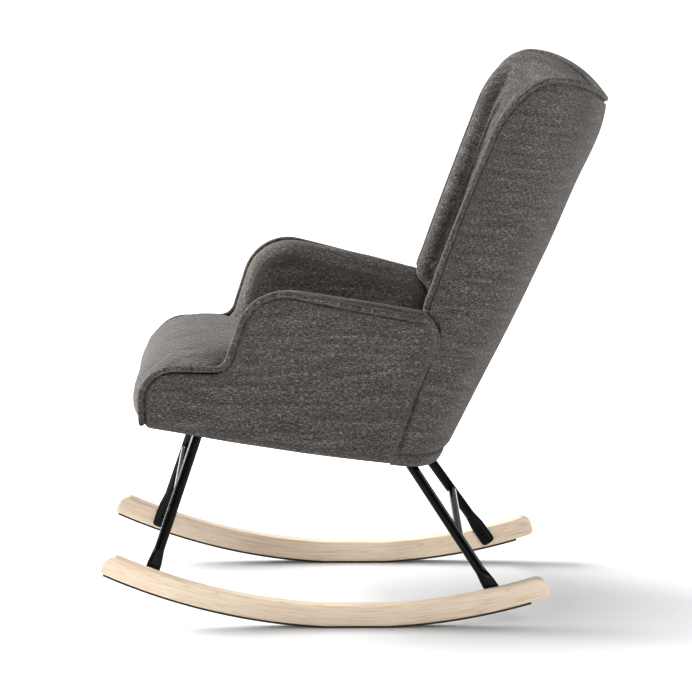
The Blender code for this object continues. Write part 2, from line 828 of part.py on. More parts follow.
def curved_panel(name, angles, levels, depths, columns, material):
    """A layer of the back.

    angles(z) gives the first and last angle at a height. levels(share) gives the heights of the rows, from
    the bottom up, where share runs from -1 at one wing's edge to 1 at the other's. depths are the outer and
    the inner.
    """
    shape = bmesh.new()
    rows = len(levels(0.0)) - 1
    bmesh.ops.create_grid(shape, x_segments=columns, y_segments=rows, size=1.0)
    made = bmesh.ops.extrude_face_region(shape, geom=shape.faces[:], use_keep_orig=True)
    for corner in made["geom"]:
        if isinstance(corner, bmesh.types.BMVert):
            corner.co.z = 1.0
    for corner in shape.verts:
        across = (toward_edges(corner.co.x) + 1) / 2
        row = round((corner.co.y + 1) / 2 * rows)
        layer = corner.co.z
        share = mix(angles(BACK_TOP), across) / edge_angle(BACK_TOP)
        z = levels(share)[row]
        corner.co = back_point(mix(angles(z), across), z, mix(depths, layer))
    return finish(name, shape, material)


def up_to_top(start, stations, drop=0.0, count=6):
    """Row heights: the start, the fixed stations, then even steps up to the back's top edge."""

    def levels(share):
        low = start(share) if callable(start) else start
        top = top_edge(share) - drop
        fixed = [low, *stations]
        return fixed + [mix((fixed[-1], top), k / count) for k in range(1, count + 1)]

    return levels


def between(half):
    return lambda z: (-math.radians(half), math.radians(half))


def build_back():
    def seam(share):
        return seam_height(share, SEAM_RISE)

    def band(share):
        return seam(share) - SEAM_RISE - BAND_DROP, seam(share) - 3 * GAP

    def rail(share):
        return tuple(top_edge(share) - drop for drop in TOP_RAIL)

    beside_arms = (0.35, 0.40, 0.44, 0.480, 0.495, 0.510, 0.527, 0.538, 0.546, 0.556, 0.60)
    frame = (FRAME_OUT, FRAME_IN)
    curved_panel("back_cover", to_edges, up_to_top(seam, beside_arms), (0.0, SKIN), 26, "fabric")
    pad = up_to_top(PAD_LOW, (0.42, 0.48, 0.54, 0.60, 0.66), count=5)
    curved_panel("back_pad", clear_of_arms, pad, (PAD_OUT, PAD_IN), 26, "foam")
    curved_panel("rear_base_band", to_edges, band, BAND_DEPTHS, 24, "fabric")
    across = between(RAIL_HALF_ANGLE)
    curved_panel("back_top_rail", across, rail, frame, 14, "ash")
    curved_panel("back_bottom_rail", across, lambda u: BOTTOM_RAIL, frame, 14, "ash")
    for hand, side in SIDES.items():
        panel = up_to_top(PANEL_LOW, (0.40, 0.50, 0.58, 0.62, 0.66), drop=PANEL_DROP, count=5)
        curved_panel(f"wing_panel_{hand}", wing_panel_angles(side), panel, frame, 5, "ply")
    webbing = list(np.linspace(*WEBBING_Z, 9))
    strap = between(WEBBING_HALF_ANGLE)
    curved_panel("back_webbing", strap, lambda u: webbing, WEBBING_DEPTHS, 16, "lining")
    back_piping()


def back_piping():
    """The welt from one arm up the wing's front edge, along the top and down the other wing."""
    climb = [(edge_angle(z), z) for z in np.linspace(PIPE_LOW, top_edge(1.0), 10)[:-1]]
    shares = [toward_edges(s) for s in np.linspace(1.0, -1.0, 41)]
    over = [(u * edge_angle(top_edge(u)), top_edge(u)) for u in shares]
    route = climb + over + [(-angle, z) for angle, z in reversed(climb)]
    edge = [back_point(angle, z, SKIN / 2) for angle, z in route]
    inside = [back_point(angle, z, SKIN / 2 + 0.01) for angle, z in route]
    points = []
    for i, place in enumerate(edge):
        along = edge[min(i + 1, len(edge) - 1)] - edge[max(i - 1, 0)]
        away = along.cross(inside[i] - place).normalized()
        points.append(place + away * (BACK_PIPE_RADIUS + 3 * GAP))
    tube("back_piping", points, BACK_PIPE_RADIUS, "fabric")


# ---------------------------------------------------------------- chair


def main():
    base = bpy.data.objects.new("seat_base", None)
    base.matrix_world = base_matrix()
    PARTS.objects.link(base)
    bpy.context.view_layer.update()
    build_rockers()
    build_legs(base)
    build_seat(base)
    build_sides()
    build_back()


clear_scene()
PARTS = new_collection("rocking_chair")
CUTTERS = new_collection("cutters")
MATERIALS = make_materials()
main()
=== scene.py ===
"""Looks for the upholstered wing-back rocking chair: melange weave, ash rockers, black legs, pale studio."""

import math

import bmesh
import bpy
import numpy as np
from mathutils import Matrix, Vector
from mathutils.geometry import delaunay_2d_cdt
from mathutils.noise import noise


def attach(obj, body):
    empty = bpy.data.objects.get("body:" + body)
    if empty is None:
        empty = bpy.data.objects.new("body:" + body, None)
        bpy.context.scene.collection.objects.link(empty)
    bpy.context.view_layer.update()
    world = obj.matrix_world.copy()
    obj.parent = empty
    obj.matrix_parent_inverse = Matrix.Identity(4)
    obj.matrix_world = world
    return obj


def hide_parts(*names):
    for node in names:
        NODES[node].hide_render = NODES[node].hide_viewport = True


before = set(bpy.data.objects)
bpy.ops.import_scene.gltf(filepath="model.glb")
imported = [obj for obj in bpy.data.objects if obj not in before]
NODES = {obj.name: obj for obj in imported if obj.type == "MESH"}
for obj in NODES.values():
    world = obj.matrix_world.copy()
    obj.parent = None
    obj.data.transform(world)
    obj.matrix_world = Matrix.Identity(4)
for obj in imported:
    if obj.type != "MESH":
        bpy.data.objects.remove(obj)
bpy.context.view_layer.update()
SIDES = {"left": 1, "right": -1}

# The sides: outline as (y, z, corner radius), and how far the outer face stands from the middle.
SEAT_LINE = 0.4575
SIDE_CORNERS = {
    "toe": (-0.368, 0.357, 0.010),
    "seat_front": (-0.374, SEAT_LINE, 0.055),
    "arm_root": (-0.224, SEAT_LINE, 0.035),
    "arm_front": (-0.174, 0.610, 0.075),
    "arm_rear": (0.1525, 0.5345, 0.035),
    "heel": (0.063, 0.2895, 0.012),
}
SIDE_X = 0.345
TAPER_Y = (-0.45, -0.30, -0.20, -0.10, 0.0, 0.10, 0.18)
TAPER_X = (-0.024, -0.012, 0.0, 0.0, -0.012, -0.035, -0.056)
FLARE_Z = (0.28, 0.36, 0.457, 0.53, 0.60, 0.64)
FLARE_X = (-0.064, -0.058, -0.045, -0.022, 0.0, 0.012)
SKIN = 0.003
PIPE_RADIUS = 0.0055

# The base slopes down to the rear.
BASE_Z = 0.3045
BASE_SLOPE = math.tan(math.radians(8.34))

# The back: its plan at every height is half of a superellipse.
BACK_DEPTH = 0.21
BACK_HALF_WIDTH = 0.262
BACK_SPREAD = 0.45
BACK_SPREAD_FROM = 0.60
REAR_Z = (0.25, 0.28, 0.346, 0.636, 0.763, 0.83, 0.863, 0.899, 0.94, 0.99)
REAR_Y = (0.1445, 0.160, 0.194, 0.339, 0.395, 0.4265, 0.4385, 0.446, 0.450, 0.4505)
EDGE_Z = (0.28, 0.480, 0.495, 0.510, 0.527, 0.538, 0.546, 0.556, 0.60, 0.99)
EDGE_Y = (0.0620, 0.1345, 0.1405, 0.1440, 0.1445, 0.1395, 0.1320, 0.1250, 0.1385, 0.2875)
SEAM_RISE = 0.0073
BAND_DROP = 0.0085
BACK_TOP = 0.8985
TOP_RISE = 0.0570
TOP_POWER = 1.8
TOP_SHOULDER = 0.80
CORNER_DROP = 0.088
BACK_PIPE_RADIUS = 0.005
PIPE_LOW = 0.566

# Rockers.
RUN_RADIUS = 1.084
FLAT_ANGLE = math.radians(2.9)
ARC_Z = RUN_RADIUS * math.cos(FLAT_ANGLE)
ROCKER_X = 0.26
ROCKER_WIDTH = 0.030
ROCKER_DEPTH = 0.037
ROCKER_ENDS = (math.radians(-24.65), math.radians(18.3))
STRIP_ENDS = (math.radians(-24.2), math.radians(16.4))
STRIP_DEPTH = 0.003
STRIP_WIDTH = 0.028
GAP = 0.0003
WOOD_RADIUS = RUN_RADIUS - STRIP_DEPTH - GAP
END_ROUND = 0.020  # corner radius of a rocker's ends on top
END_ROUND_LOW = (0.006, 0.010)  # and underneath, in front and at the rear
END_STEPS = 12


PUFF_FRAMES = 20  # length of a cloth run
PUFF_CAP = 0.004  # no point swells further than this
PUFF_CLOTH = {
    "quality": 6,
    "mass": 0.3,
    "tension_stiffness": 18,
    "compression_stiffness": 18,
    "shear_stiffness": 8,
    "bending_stiffness": 1.5,
    "use_pressure": True,
    "vertex_group_mass": "held",
}


# ---- numbers and meshes


def eased(at, places, values):
    """Interpolates smoothly through the values, without overshooting them."""
    places, values = np.asarray(places, float), np.asarray(values, float)
    steps = np.diff(places)
    rises = np.diff(values) / steps
    slopes = np.concatenate(([rises[0]], np.zeros(len(rises) - 1), [rises[-1]]))
    for k in range(1, len(rises)):
        if rises[k - 1] * rises[k] > 0:
            slopes[k] = 2 * rises[k - 1] * rises[k] / (rises[k - 1] + rises[k])
    at = np.clip(np.asarray(at, float), places[0], places[-1])
    k = np.clip(np.searchsorted(places, at) - 1, 0, len(rises) - 1)
    t = (at - places[k]) / steps[k]
    start = (1 + 2 * t) * (1 - t) ** 2 * values[k] + t * (1 - t) ** 2 * steps[k] * slopes[k]
    return start + t**2 * (3 - 2 * t) * values[k + 1] + t**2 * (t - 1) * steps[k] * slopes[k + 1]


def unit(vectors):
    return vectors / np.maximum(np.linalg.norm(vectors, axis=-1, keepdims=True), 1e-12)


def ripple(points, scale, seed=0.0):
    """Smooth noise from -1 to 1 at each point."""
    return np.array([noise(Vector(p) * scale + Vector((seed, seed, seed))) for p in points])


def add_object(name, data):
    made = bpy.data.objects.new(name, data)
    bpy.context.scene.collection.objects.link(made)
    return made


def mesh_piece(name, points, faces, material, cloth, nodes):
    """A mesh from points and faces. cloth is where each point lies on its fabric, in metres, or None."""
    mesh = bpy.data.meshes.new(name)
    mesh.from_pydata([tuple(p) for p in points], [], [tuple(int(i) for i in f) for f in faces])
    shape = bmesh.new()
    shape.from_mesh(mesh)
    bmesh.ops.recalc_face_normals(shape, faces=shape.faces)
    if shape.calc_volume(signed=True) < 0:
        bmesh.ops.reverse_faces(shape, faces=shape.faces)
    shape.to_mesh(mesh)
    shape.free()
    mesh.shade_smooth()
    if cloth is not None:
        flat = np.zeros((len(points), 3), np.float32)
        flat[:, :2] = np.asarray(cloth)[:, :2]
        mesh.attributes.new("cloth", "FLOAT_VECTOR", "POINT").data.foreach_set("vector", flat.ravel())
    mesh.materials.append(material)
    piece = add_object(name, mesh)
    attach(piece, "root")
    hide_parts(*nodes)
    return piece


def grid_faces(rows, columns, closed=False):
    """Quads between rows of points; closed joins each row's last point to its first."""
    faces = []
    for r in range(rows - 1):
        for c in range(columns if closed else columns - 1):
            a, b = r * columns + c, r * columns + (c + 1) % columns
            faces.append((a, b, b + columns, a + columns))
    return faces


def tube_faces(rows, columns):
    """Quads round a tube of closed rows of points, and one face over each end."""
    count = rows * columns
    ends = [tuple(range(columns)), tuple(range(count - columns, count))]
    return grid_faces(rows, columns, closed=True) + ends


def lengths_along(path):
    """The distance from a path's start to each of its points."""
    return np.concatenate(([0], np.cumsum(np.linalg.norm(np.diff(path, axis=0), axis=1))))


def resampled(path, spacing, closed=False):
    """The path with even steps of about that length."""
    path = np.asarray(path, float)
    if closed:
        path = np.vstack([path, path[:1]])
    length = lengths_along(path)
    count = max(3, round(length[-1] / spacing))
    at = np.linspace(0, length[-1], count + 1)
    made = np.stack([np.interp(at, length, path[:, k]) for k in range(path.shape[1])], 1)
    return made[:-1] if closed else made


def welt(name, path, radius, across, material, nodes, seed, sides=14):
    """A fabric-covered cord along a path, with rounded ends and the slight lumps of a sewn one."""
    path = resampled(path, 0.004)
    along = unit(np.gradient(path, axis=0))
    side = unit(np.array(across) - along * (along @ across)[:, None])
    other = np.cross(along, side)
    length = lengths_along(path)
    lumps = 1 + 0.015 * ripple(np.stack([length, length * 0, length * 0], 1), 55, seed)
    caps = [(-1.0, 0.15), (-0.92, 0.45), (-0.7, 0.72), (-0.38, 0.93)]  # (distance, size) in radii
    last = len(path) - 1
    stations = [(path[0] + along[0] * radius * s, 0, r) for s, r in caps]
    stations += [(path[i], i, lumps[i]) for i in range(len(path))]
    stations += [(path[last] - along[last] * radius * s, last, r) for s, r in reversed(caps)]
    points, cloth = [], []
    for centre, i, scale in stations:
        for k in range(sides):
            turn = 2 * math.pi * k / sides
            points.append(centre + radius * scale * (side[i] * math.cos(turn) + other[i] * math.sin(turn)))
            cloth.append((length[i], radius * min(turn, 2 * math.pi - turn)))
    faces = tube_faces(len(stations), sides)
    return mesh_piece(name, points, faces, material, cloth, nodes)


def puff(piece, pressure, held):
    """Lets a padded form swell as cloth under pressure, with held points fixed."""
    scene = bpy.context.scene
    start = np.array([v.co for v in piece.data.vertices])
    group = piece.vertex_groups.new(name="held")
    group.add([int(i) for i in held], 1.0, "REPLACE")
    modifier = piece.modifiers.new("cloth", "CLOTH")
    for key, value in PUFF_CLOTH.items():
        setattr(modifier.settings, key, value)
    modifier.settings.uniform_pressure_force = pressure
    modifier.settings.effector_weights.gravity = 0
    modifier.collision_settings.use_collision = False
    modifier.collision_settings.use_self_collision = False
    modifier.point_cache.frame_start, modifier.point_cache.frame_end = 1, PUFF_FRAMES
    for step in range(1, PUFF_FRAMES + 1):
        scene.frame_set(step)
    swollen = piece.evaluated_get(bpy.context.evaluated_depsgraph_get())
    moved = np.array([v.co for v in swollen.data.vertices]) - start
    piece.modifiers.remove(modifier)
    piece.vertex_groups.clear()
    far = np.linalg.norm(moved, axis=1, keepdims=True)
    moved *= PUFF_CAP * np.tanh(far / PUFF_CAP) / np.maximum(far, 1e-9)
    piece.data.vertices.foreach_set("co", (start + moved).ravel())
    piece.data.update()
    scene.frame_set(1)


# ---- node materials


class Nodes:
    """Shortens the making of a node tree."""

    def __init__(self, name):
        self.material = bpy.data.materials.new(name)
        self.material.use_nodes = True
        self.tree = self.material.node_tree
        self.shader = self.tree.nodes["Principled BSDF"]

    def add(self, kind, inputs=None, **settings):
        node = self.tree.nodes.new(kind)
        for key, value in settings.items():
            setattr(node, key, value)
        for key, value in (inputs or {}).items():
            self.feed(node.inputs[key], value)
        return node

    def feed(self, socket, value):
        if isinstance(value, bpy.types.NodeSocket):
            self.tree.links.new(value, socket)
        elif isinstance(value, bpy.types.Node):
            self.tree.links.new(value.outputs[0], socket)
        else:
            socket.default_value = value

    def place(self):
        """The object's own coordinates."""
        return self.add("ShaderNodeTexCoord").outputs["Object"]

    def math(self, operation, a, b=0.0, c=0.0):
        return self.add("ShaderNodeMath", {0: a, 1: b, 2: c}, operation=operation)

    def total(self, *parts):
        """The sum of (value, share) pairs."""
        made = 0.0
        for value, share in parts:
            made = self.math("MULTIPLY_ADD", value, share, made)
        return made

    def mix(self, share, a, b):
        node = self.add("ShaderNodeMix", data_type="RGBA")
        self.feed(node.inputs[0], share)
        self.feed(node.inputs[6], a)
        self.feed(node.inputs[7], b)
        return node.outputs[2]

    def noise(self, vector, scale, detail=2.0, rough=0.5, distortion=0.0):
        inputs = {"Vector": vector, "Scale": scale, "Detail": detail, "Roughness": rough}
        return self.add("ShaderNodeTexNoise", {**inputs, "Distortion": distortion}).outputs[0]

    def stretch(self, vector, x, y, z=1.0):
        return self.add("ShaderNodeMapping", {"Vector": vector, "Scale": (x, y, z)}).outputs[0]

    def pattern(self, scale, *detail):
        """A noise over the object, or cells if no detail is given."""
        if not detail:
            return self.add("ShaderNodeTexVoronoi", {"Vector": self.place(), "Scale": scale}).outputs[0]
        if isinstance(scale, tuple):
            return self.noise(self.stretch(self.place(), *scale), 1.0, *detail)
        return self.noise(self.place(), scale, *detail)

    def range(self, value, low, high, new_low=0.0, new_high=1.0):
        inputs = {"Value": value, 1: low, 2: high, 3: new_low, 4: new_high}
        return self.add("ShaderNodeMapRange", inputs).outputs[0]

    def ramp(self, value, stops):
        node = self.add("ShaderNodeValToRGB", {0: value})
        ramp = node.color_ramp
        while len(ramp.elements) < len(stops):
            ramp.elements.new(0.5)
        for element, (place, color) in zip(ramp.elements, stops):
            element.position = place
            element.color = (*color, 1.0)
        return node.outputs[0]

    def bump(self, height, distance, strength):
        inputs = {"Height": height, "Distance": distance, "Strength": strength}
        return self.add("ShaderNodeBump", inputs).outputs[0]

    def set(self, **values):
        for key, value in values.items():
            self.feed(self.shader.inputs[key.replace("_", " ")], value)
        return self.material


def srgb(*parts):
    """A colour given as 0-255 values, in linear light."""
    return tuple((p / 255 / 12.92 if p < 10.3 else ((p / 255 + 0.055) / 1.055) ** 2.4) for p in parts)


YARN = 0.0018  # distance from thread to thread
YARN_DARK = srgb(34, 31, 29)
YARN_MID = srgb(70, 66, 63)
YARN_LIGHT = srgb(143, 139, 134)
YARN_PALE = tuple(c * 1.5 for c in YARN_MID)
YARN_WANDER = 1.1  # how far a thread strays, in threads
THREAD_DIP = 0.55  # how far a thread sinks where another crosses over it
MELANGE = {  # repeats per metre along the cloth and across it, detail, roughness
    "streak": (130.0, 600.0, 2.0, 0.62),
    "cross": (540.0, 190.0, 1.0, 0.50),
    "fibre": (760.0, 760.0, 1.0, 0.50),
    "drift": (12.0, 95.0, 3.0, 0.60),
    "fuzz": (2400.0, 2400.0, 1.0, 0.50),
}


def strayed(n, place):
    """Places on the cloth, with the threads led slightly astray."""
    wander = n.add("ShaderNodeTexNoise", {"Vector": place, "Scale": 90.0, "Detail": 1.0}).outputs[1]
    shift = n.add("ShaderNodeVectorMath", {0: wander, 1: (0.5, 0.5, 0.5)}, operation="SUBTRACT")
    shift = n.add("ShaderNodeVectorMath", {0: shift, "Scale": YARN * YARN_WANDER}, operation="SCALE")
    return n.add("ShaderNodeVectorMath", {0: place, 1: shift.outputs[0]}, operation="ADD").outputs[0]


def thread_height(n, place):
    """Rounded ridges of warp and weft that take turns to be on top."""
    parts = n.add("ShaderNodeSeparateXYZ", {0: place})
    column, row = [n.math("DIVIDE", parts.outputs[k], YARN) for k in (0, 1)]
    ridges = [n.math("SINE", n.math("MULTIPLY", at, math.pi)) for at in (column, row)]
    warp, weft = [n.math("ABSOLUTE", ridge) for ridge in ridges]
    cell = n.math("ADD", n.math("FLOOR", column), n.math("FLOOR", row))
    weft_up = n.math("MULTIPLY", weft, n.math("MULTIPLY_ADD", warp, THREAD_DIP, 1 - THREAD_DIP))
    warp_up = n.math("MULTIPLY", warp, n.math("MULTIPLY_ADD", weft, THREAD_DIP, 1 - THREAD_DIP))
    return n.mix(n.math("PINGPONG", cell, 1.0), weft_up, warp_up)


def weave_material(name):
    """Coarse plain weave of slubby two-tone yarn, laid out by each piece's cloth attribute."""
    n = Nodes(name)
    place = strayed(n, n.add("ShaderNodeAttribute", attribute_name="cloth").outputs["Vector"])
    over = thread_height(n, place)
    # Melange: short streaks of lighter and darker fibre along the threads, in slow drifts of tone.
    fibres = {}
    for kind, (x, y, detail, rough) in MELANGE.items():
        fibres[kind] = n.noise(n.stretch(place, x, y), 1.0, detail, rough)
    drift = n.math("SUBTRACT", fibres["drift"], 0.5)
    # Painted shade: the threads' relief also goes into the colour, darker where a thread sinks under a
    # crossing one and lighter on its raised parts.
    relief = n.math("SUBTRACT", over, 0.55)
    shares = ((fibres["streak"], 0.52), (fibres["cross"], 0.30), (fibres["fibre"], 0.18), (drift, 0.20))
    stops = [(0.40, YARN_DARK), (0.50, YARN_MID), (0.57, YARN_PALE), (0.66, YARN_LIGHT)]
    color = n.ramp(n.total(*shares, (relief, 0.14)), stops)
    height = n.total((over, 0.7), (fibres["streak"], 0.45), (fibres["fuzz"], 0.15))
    n.set(Base_Color=color, Roughness=0.92, Normal=n.bump(height, 0.0007, 0.75))
    n.set(Sheen_Weight=0.14, Sheen_Roughness=0.35, Sheen_Tint=(0.9, 0.88, 0.86, 1.0))
    return n.set(Specular_IOR_Level=0.15)


def arc_place(n):
    """Coordinates along a rocker: across, along its arc and outward, so that grain follows the bend."""
    across, forward, height = n.add("ShaderNodeSeparateXYZ", {0: n.place()}).outputs[:3]
    drop = n.math("SUBTRACT", ARC_Z, height)
    angle = n.math("ARCTAN2", forward, drop)
    reach = n.math("SQRT", n.math("ADD", n.math("POWER", forward, 2.0), n.math("POWER", drop, 2.0)))
    along, outward = n.math("MULTIPLY", angle, RUN_RADIUS), n.math("SUBTRACT", reach, RUN_RADIUS)
    return n.add("ShaderNodeCombineXYZ", {0: across, 1: along, 2: outward}).outputs[0]


ASH_DEEP = srgb(212, 186, 156)
ASH_MID = srgb(227, 207, 182)
ASH_PALE = srgb(233, 215, 193)
ASH_PORE = srgb(184, 148, 112)
ASH_WARM = srgb(222, 198, 172)


def ash_material(name, bent=True):
    """Pale ash under a clear satin lacquer: long soft figure and fine pores along the grain."""
    n = Nodes(name)
    place = arc_place(n) if bent else n.place()
    figure = n.noise(n.stretch(place, 20.0, 2.4, 48.0), 1.0, 3.0, 0.5, 0.6)
    bands = n.math("ABSOLUTE", n.math("SINE", n.math("MULTIPLY", figure, 34.0)))
    pores = n.noise(n.stretch(place, 1300.0, 26.0, 1300.0), 1.0, 2.0, 0.6)
    tone = n.noise(n.stretch(place, 6.0, 3.0, 12.0), 1.0, 2.0)
    color = n.ramp(bands, [(0.0, ASH_DEEP), (0.4, ASH_MID), (1.0, ASH_PALE)])
    color = n.mix(n.range(pores, 0.54, 0.72, 0.0, 0.45), color, (*ASH_PORE, 1.0))
    color = n.mix(n.range(tone, 0.3, 0.7, 0.0, 0.3), color, (*ASH_WARM, 1.0))
    height = n.math("SUBTRACT", n.math("MULTIPLY", bands, 0.2), n.range(pores, 0.55, 0.7))
    rough = n.range(pores, 0.3, 0.7, 0.34, 0.52)
    n.set(Base_Color=color, Roughness=rough, Normal=n.bump(height, 0.0002, 0.4))
    return n.set(Coat_Weight=0.25, Coat_Roughness=0.28)


# Patterns: repeats per metre, detail and roughness of a noise, or the repeats alone for cells.
PLIES = ((700.0, 60.0, 60.0), 3.0, 0.5)
SCUFFS = (38.0, 4.0, 0.6)
DUST = (160.0, 4.0, 0.6)
SPANGLE = (700.0, 3.0, 0.6)
PLAIN_MATERIALS = {  # the tones' pattern, two (stop, colour) pairs, the relief's pattern, depth and strength
    "birch_ply": (PLIES, (0.3, (190, 150, 104)), (0.7, (224, 190, 146)), PLIES, 0.0003, 0.5),
    "black_enamel": (SCUFFS, (0.35, (3, 3, 4)), (0.75, (9, 9, 10)), (420.0, 2.0, 0.5), 0.00012, 0.35),
    "black_rubber": (DUST, (0.35, (14, 14, 14)), (0.8, (44, 43, 42)), DUST, 0.0002, 0.5),
    "zinc_plate": (SPANGLE, (0.3, (168, 170, 172)), (0.7, (208, 208, 204)), SPANGLE, 0.0001, 0.4),
    "black_lining": ((900.0, 2.0, 0.7), (0.3, (22, 22, 23)), (0.7, (46, 46, 47)), (600.0,), 0.0003, 0.6),
    "foam": ((900.0,), (0.0, (190, 176, 120)), (1.0, (226, 214, 168)), (900.0,), 0.0004, 0.7),
}


def plain_material(name, rough, low=0.3, high=0.7, **more):
    """Two tones of one pattern with a fine relief. rough is at low and at high of the pattern."""
    n = Nodes(name)
    tones, first, second, relief, depth, strength = PLAIN_MATERIALS[name]
    value = n.pattern(*tones)
    height = value if relief == tones else n.pattern(*relief)
    n.set(Base_Color=n.ramp(value, [(stop, srgb(*color)) for stop, color in (first, second)]))
    n.set(Roughness=n.range(value, low, high, *rough), Normal=n.bump(height, depth, strength))
    return n.set(**more)


# Painted light: the floor's emission is low beside the chair and rises to plain white further out, which
# blots out the chair's shadows there.
FLOOR_TONES = (0.56, 0.60)
FLOOR_GLOW = 0.06
GLOW_FROM = 0.38  # distances from the chair's middle between which the floor turns to plain white
GLOW_FULL = 1.0


def floor_material(name):
    """Pale matt floor that glows, faintly beside the chair and plain white further out: painted light that
    fades out the chair's shadows.
    """
    n = Nodes(name)
    place = n.place()
    cloud = n.noise(place, 1.5, 3.0)
    color = n.ramp(cloud, [(stop, (tone,) * 3) for stop, tone in zip((0.3, 0.7), FLOOR_TONES)])
    reach = n.add("ShaderNodeVectorMath", {0: place}, operation="LENGTH").outputs["Value"]
    # painted light: the glow rises with distance from the chair
    glow = n.range(reach, GLOW_FROM, GLOW_FULL, FLOOR_GLOW, 1.0)
    n.set(Base_Color=color, Roughness=0.75, Specular_IOR_Level=0.2)
    return n.set(Emission_Color=(1.0, 1.0, 1.0, 1.0), Emission_Strength=glow)


# ---- camera and light

CAMERA_PLACE = (6.817, -0.064, 1.589)
CAMERA_PITCH = math.radians(9.44)
CAMERA_YAW = math.radians(0.395)
CAMERA_LENS = 199.45
FLOOR_REACH = 30.0
FLOOR_STEPS = 12
WORLD_LIGHT = 0.24
LIGHTS = {  # place, target, width, height, watts
    "front_light": ((-1.2, -3.6, 2.2), (-0.1, -0.1, 0.4), 2.6, 2.2, 640),
    "rear_light": ((-0.6, 3.6, 1.8), (0, 0.3, 0.6), 1.4, 1.6, 35),
    "near_light": ((3.4, 2.3, 2.9), (0, 0, 0.3), 1.8, 1.2, 90),
    "strip_light": ((4.2, 2.2, 0.9), (0, 0.1, 0.3), 0.22, 1.9, 16),
}


def make_camera():
    """A long lens from the sitter's left, a little above the arms."""
    data = bpy.data.cameras.new("camera")
    data.sensor_width = 36.0
    data.lens = CAMERA_LENS
    data.clip_end = 200.0
    camera = add_object("camera", data)
    level = math.cos(CAMERA_PITCH)
    aim = Vector((-level * math.cos(CAMERA_YAW), level * math.sin(CAMERA_YAW), -math.sin(CAMERA_PITCH)))
    camera.rotation_euler = aim.to_track_quat("-Z", "Y").to_euler()
    camera.location = CAMERA_PLACE
    bpy.context.scene.camera = camera


def soft_box(name, place, target, width, height, power):
    data = bpy.data.lights.new(name, "AREA")
    data.shape = "RECTANGLE"
    data.size, data.size_y = width, height
    data.energy = power
    light = add_object(name, data)
    light.location = place
    light.rotation_euler = (Vector(target) - Vector(place)).to_track_quat("-Z", "Y").to_euler()


def make_floor():
    ticks = FLOOR_REACH * (2 * np.arange(FLOOR_STEPS + 1) / FLOOR_STEPS - 1)
    mesh = bpy.data.meshes.new("floor")
    mesh.from_pydata([(x, y, 0.0) for x in ticks for y in ticks], [], grid_faces(len(ticks), len(ticks)))
    mesh.materials.append(floor_material("pale_floor"))
    add_object("floor", mesh)


def make_studio():
    """The floor, a white surround and the soft boxes."""
    make_floor()
    world = bpy.data.worlds.new("studio")
    bpy.context.scene.world = world
    world.use_nodes = True
    back = world.node_tree.nodes["Background"]
    back.inputs[0].default_value = (1.0, 1.0, 1.0, 1.0)
    back.inputs[1].default_value = WORLD_LIGHT
    for name, settings in LIGHTS.items():
        soft_box(name, *settings)
    bpy.context.scene.view_settings.view_transform = "Standard"


# ---- sides and arms

SIDE_BACK = 0.0066  # depth of the flat behind a side's cover
ARM_BACK = 0.0195  # and behind an arm
ARM_LOWER = ((0.0755, 0.352), (-0.213, 0.388))  # the arm's lower corners (y, z), inside the seat
ARM_LIFT_Y = (-0.22, -0.16, -0.12, -0.09, -0.04, 0.04, 0.10)
ARM_LIFT = (0.005, 0.006, 0.008, 0.011, 0.014, 0.0168, 0.0175)


def spread(y, z):
    """How far a side's outer face stands from the middle."""
    return SIDE_X + eased(y, TAPER_Y, TAPER_X) + eased(z, FLARE_Z, FLARE_X)


def rounded(corners, turn=math.radians(4)):
    """One array of points per corner, an arc where it has a radius."""
    arcs = []
    for i, (u, v, radius) in enumerate(corners):
        here = Vector((u, v))
        before = (Vector(corners[i - 1][:2]) - here).normalized()
        after = (Vector(corners[(i + 1) % len(corners)][:2]) - here).normalized()
        half = before.angle(after) / 2
        centre = here + (before + after).normalized() * radius / math.sin(half)
        start = here + before * radius / math.tan(half) - centre
        end = here + after * radius / math.tan(half) - centre
        sweep = start.angle_signed(end)
        count = max(2, math.ceil(abs(sweep) / turn))
        first = math.atan2(start.y, start.x)
        angles = first - sweep * np.arange(count + 1) / count
        arcs.append(np.stack([centre.x + radius * np.cos(angles), centre.y + radius * np.sin(angles)], 1))
    return arcs


def side_arcs():
    return dict(zip(SIDE_CORNERS, rounded(list(SIDE_CORNERS.values()))))


def outline_normals(outline, closed=True):
    """Outward normals of a clockwise outline."""
    along = np.roll(outline, -1, 0) - np.roll(outline, 1, 0) if closed else np.gradient(outline, axis=0)
    along = unit(along)
    return np.stack([-along[:, 1], along[:, 0]], 1)


def distance_to(points, outline):
    """Distance from each point to a closed outline."""
    start, end = outline, np.roll(outline, -1, 0)
    step = end - start
    best = np.full(len(points), 1e9)
    for a, s in zip(start, step):
        t = np.clip(((points - a) @ s) / max(s @ s, 1e-12), 0, 1)
        best = np.minimum(best, np.linalg.norm(points - a - t[:, None] * s, axis=1))
    return best


def fill_outline(outline, spacing):
    """Triangles over a closed outline: extra inner points, and faces that count on from the outline's own."""
    low, high = outline.min(0), outline.max(0)
    columns = np.arange(low[0], high[0], spacing)
    rows = np.arange(low[1], high[1], spacing * 0.866)
    inner = np.array([(u + spacing / 2 * (k % 2), v) for k, v in enumerate(rows) for u in columns])
    inner = inner[distance_to(inner, outline) > spacing * 0.55]
    inner = inner[[inside(p, outline) for p in inner]]
    every = [Vector(p) for p in np.vstack([outline, inner])]
    ring = list(range(len(outline)))
    made = delaunay_2d_cdt(every, [], [ring], 1, 1e-7)
    back, crossings = [], []
    for place, source in zip(made[0], made[3]):
        back.append(source[0] if source else len(every) + len(crossings))
        crossings += [] if source else [tuple(place)]
    if crossings:
        inner = np.vstack([inner, crossings])
    return inner, [[back[i] for i in face] for face in made[2]]


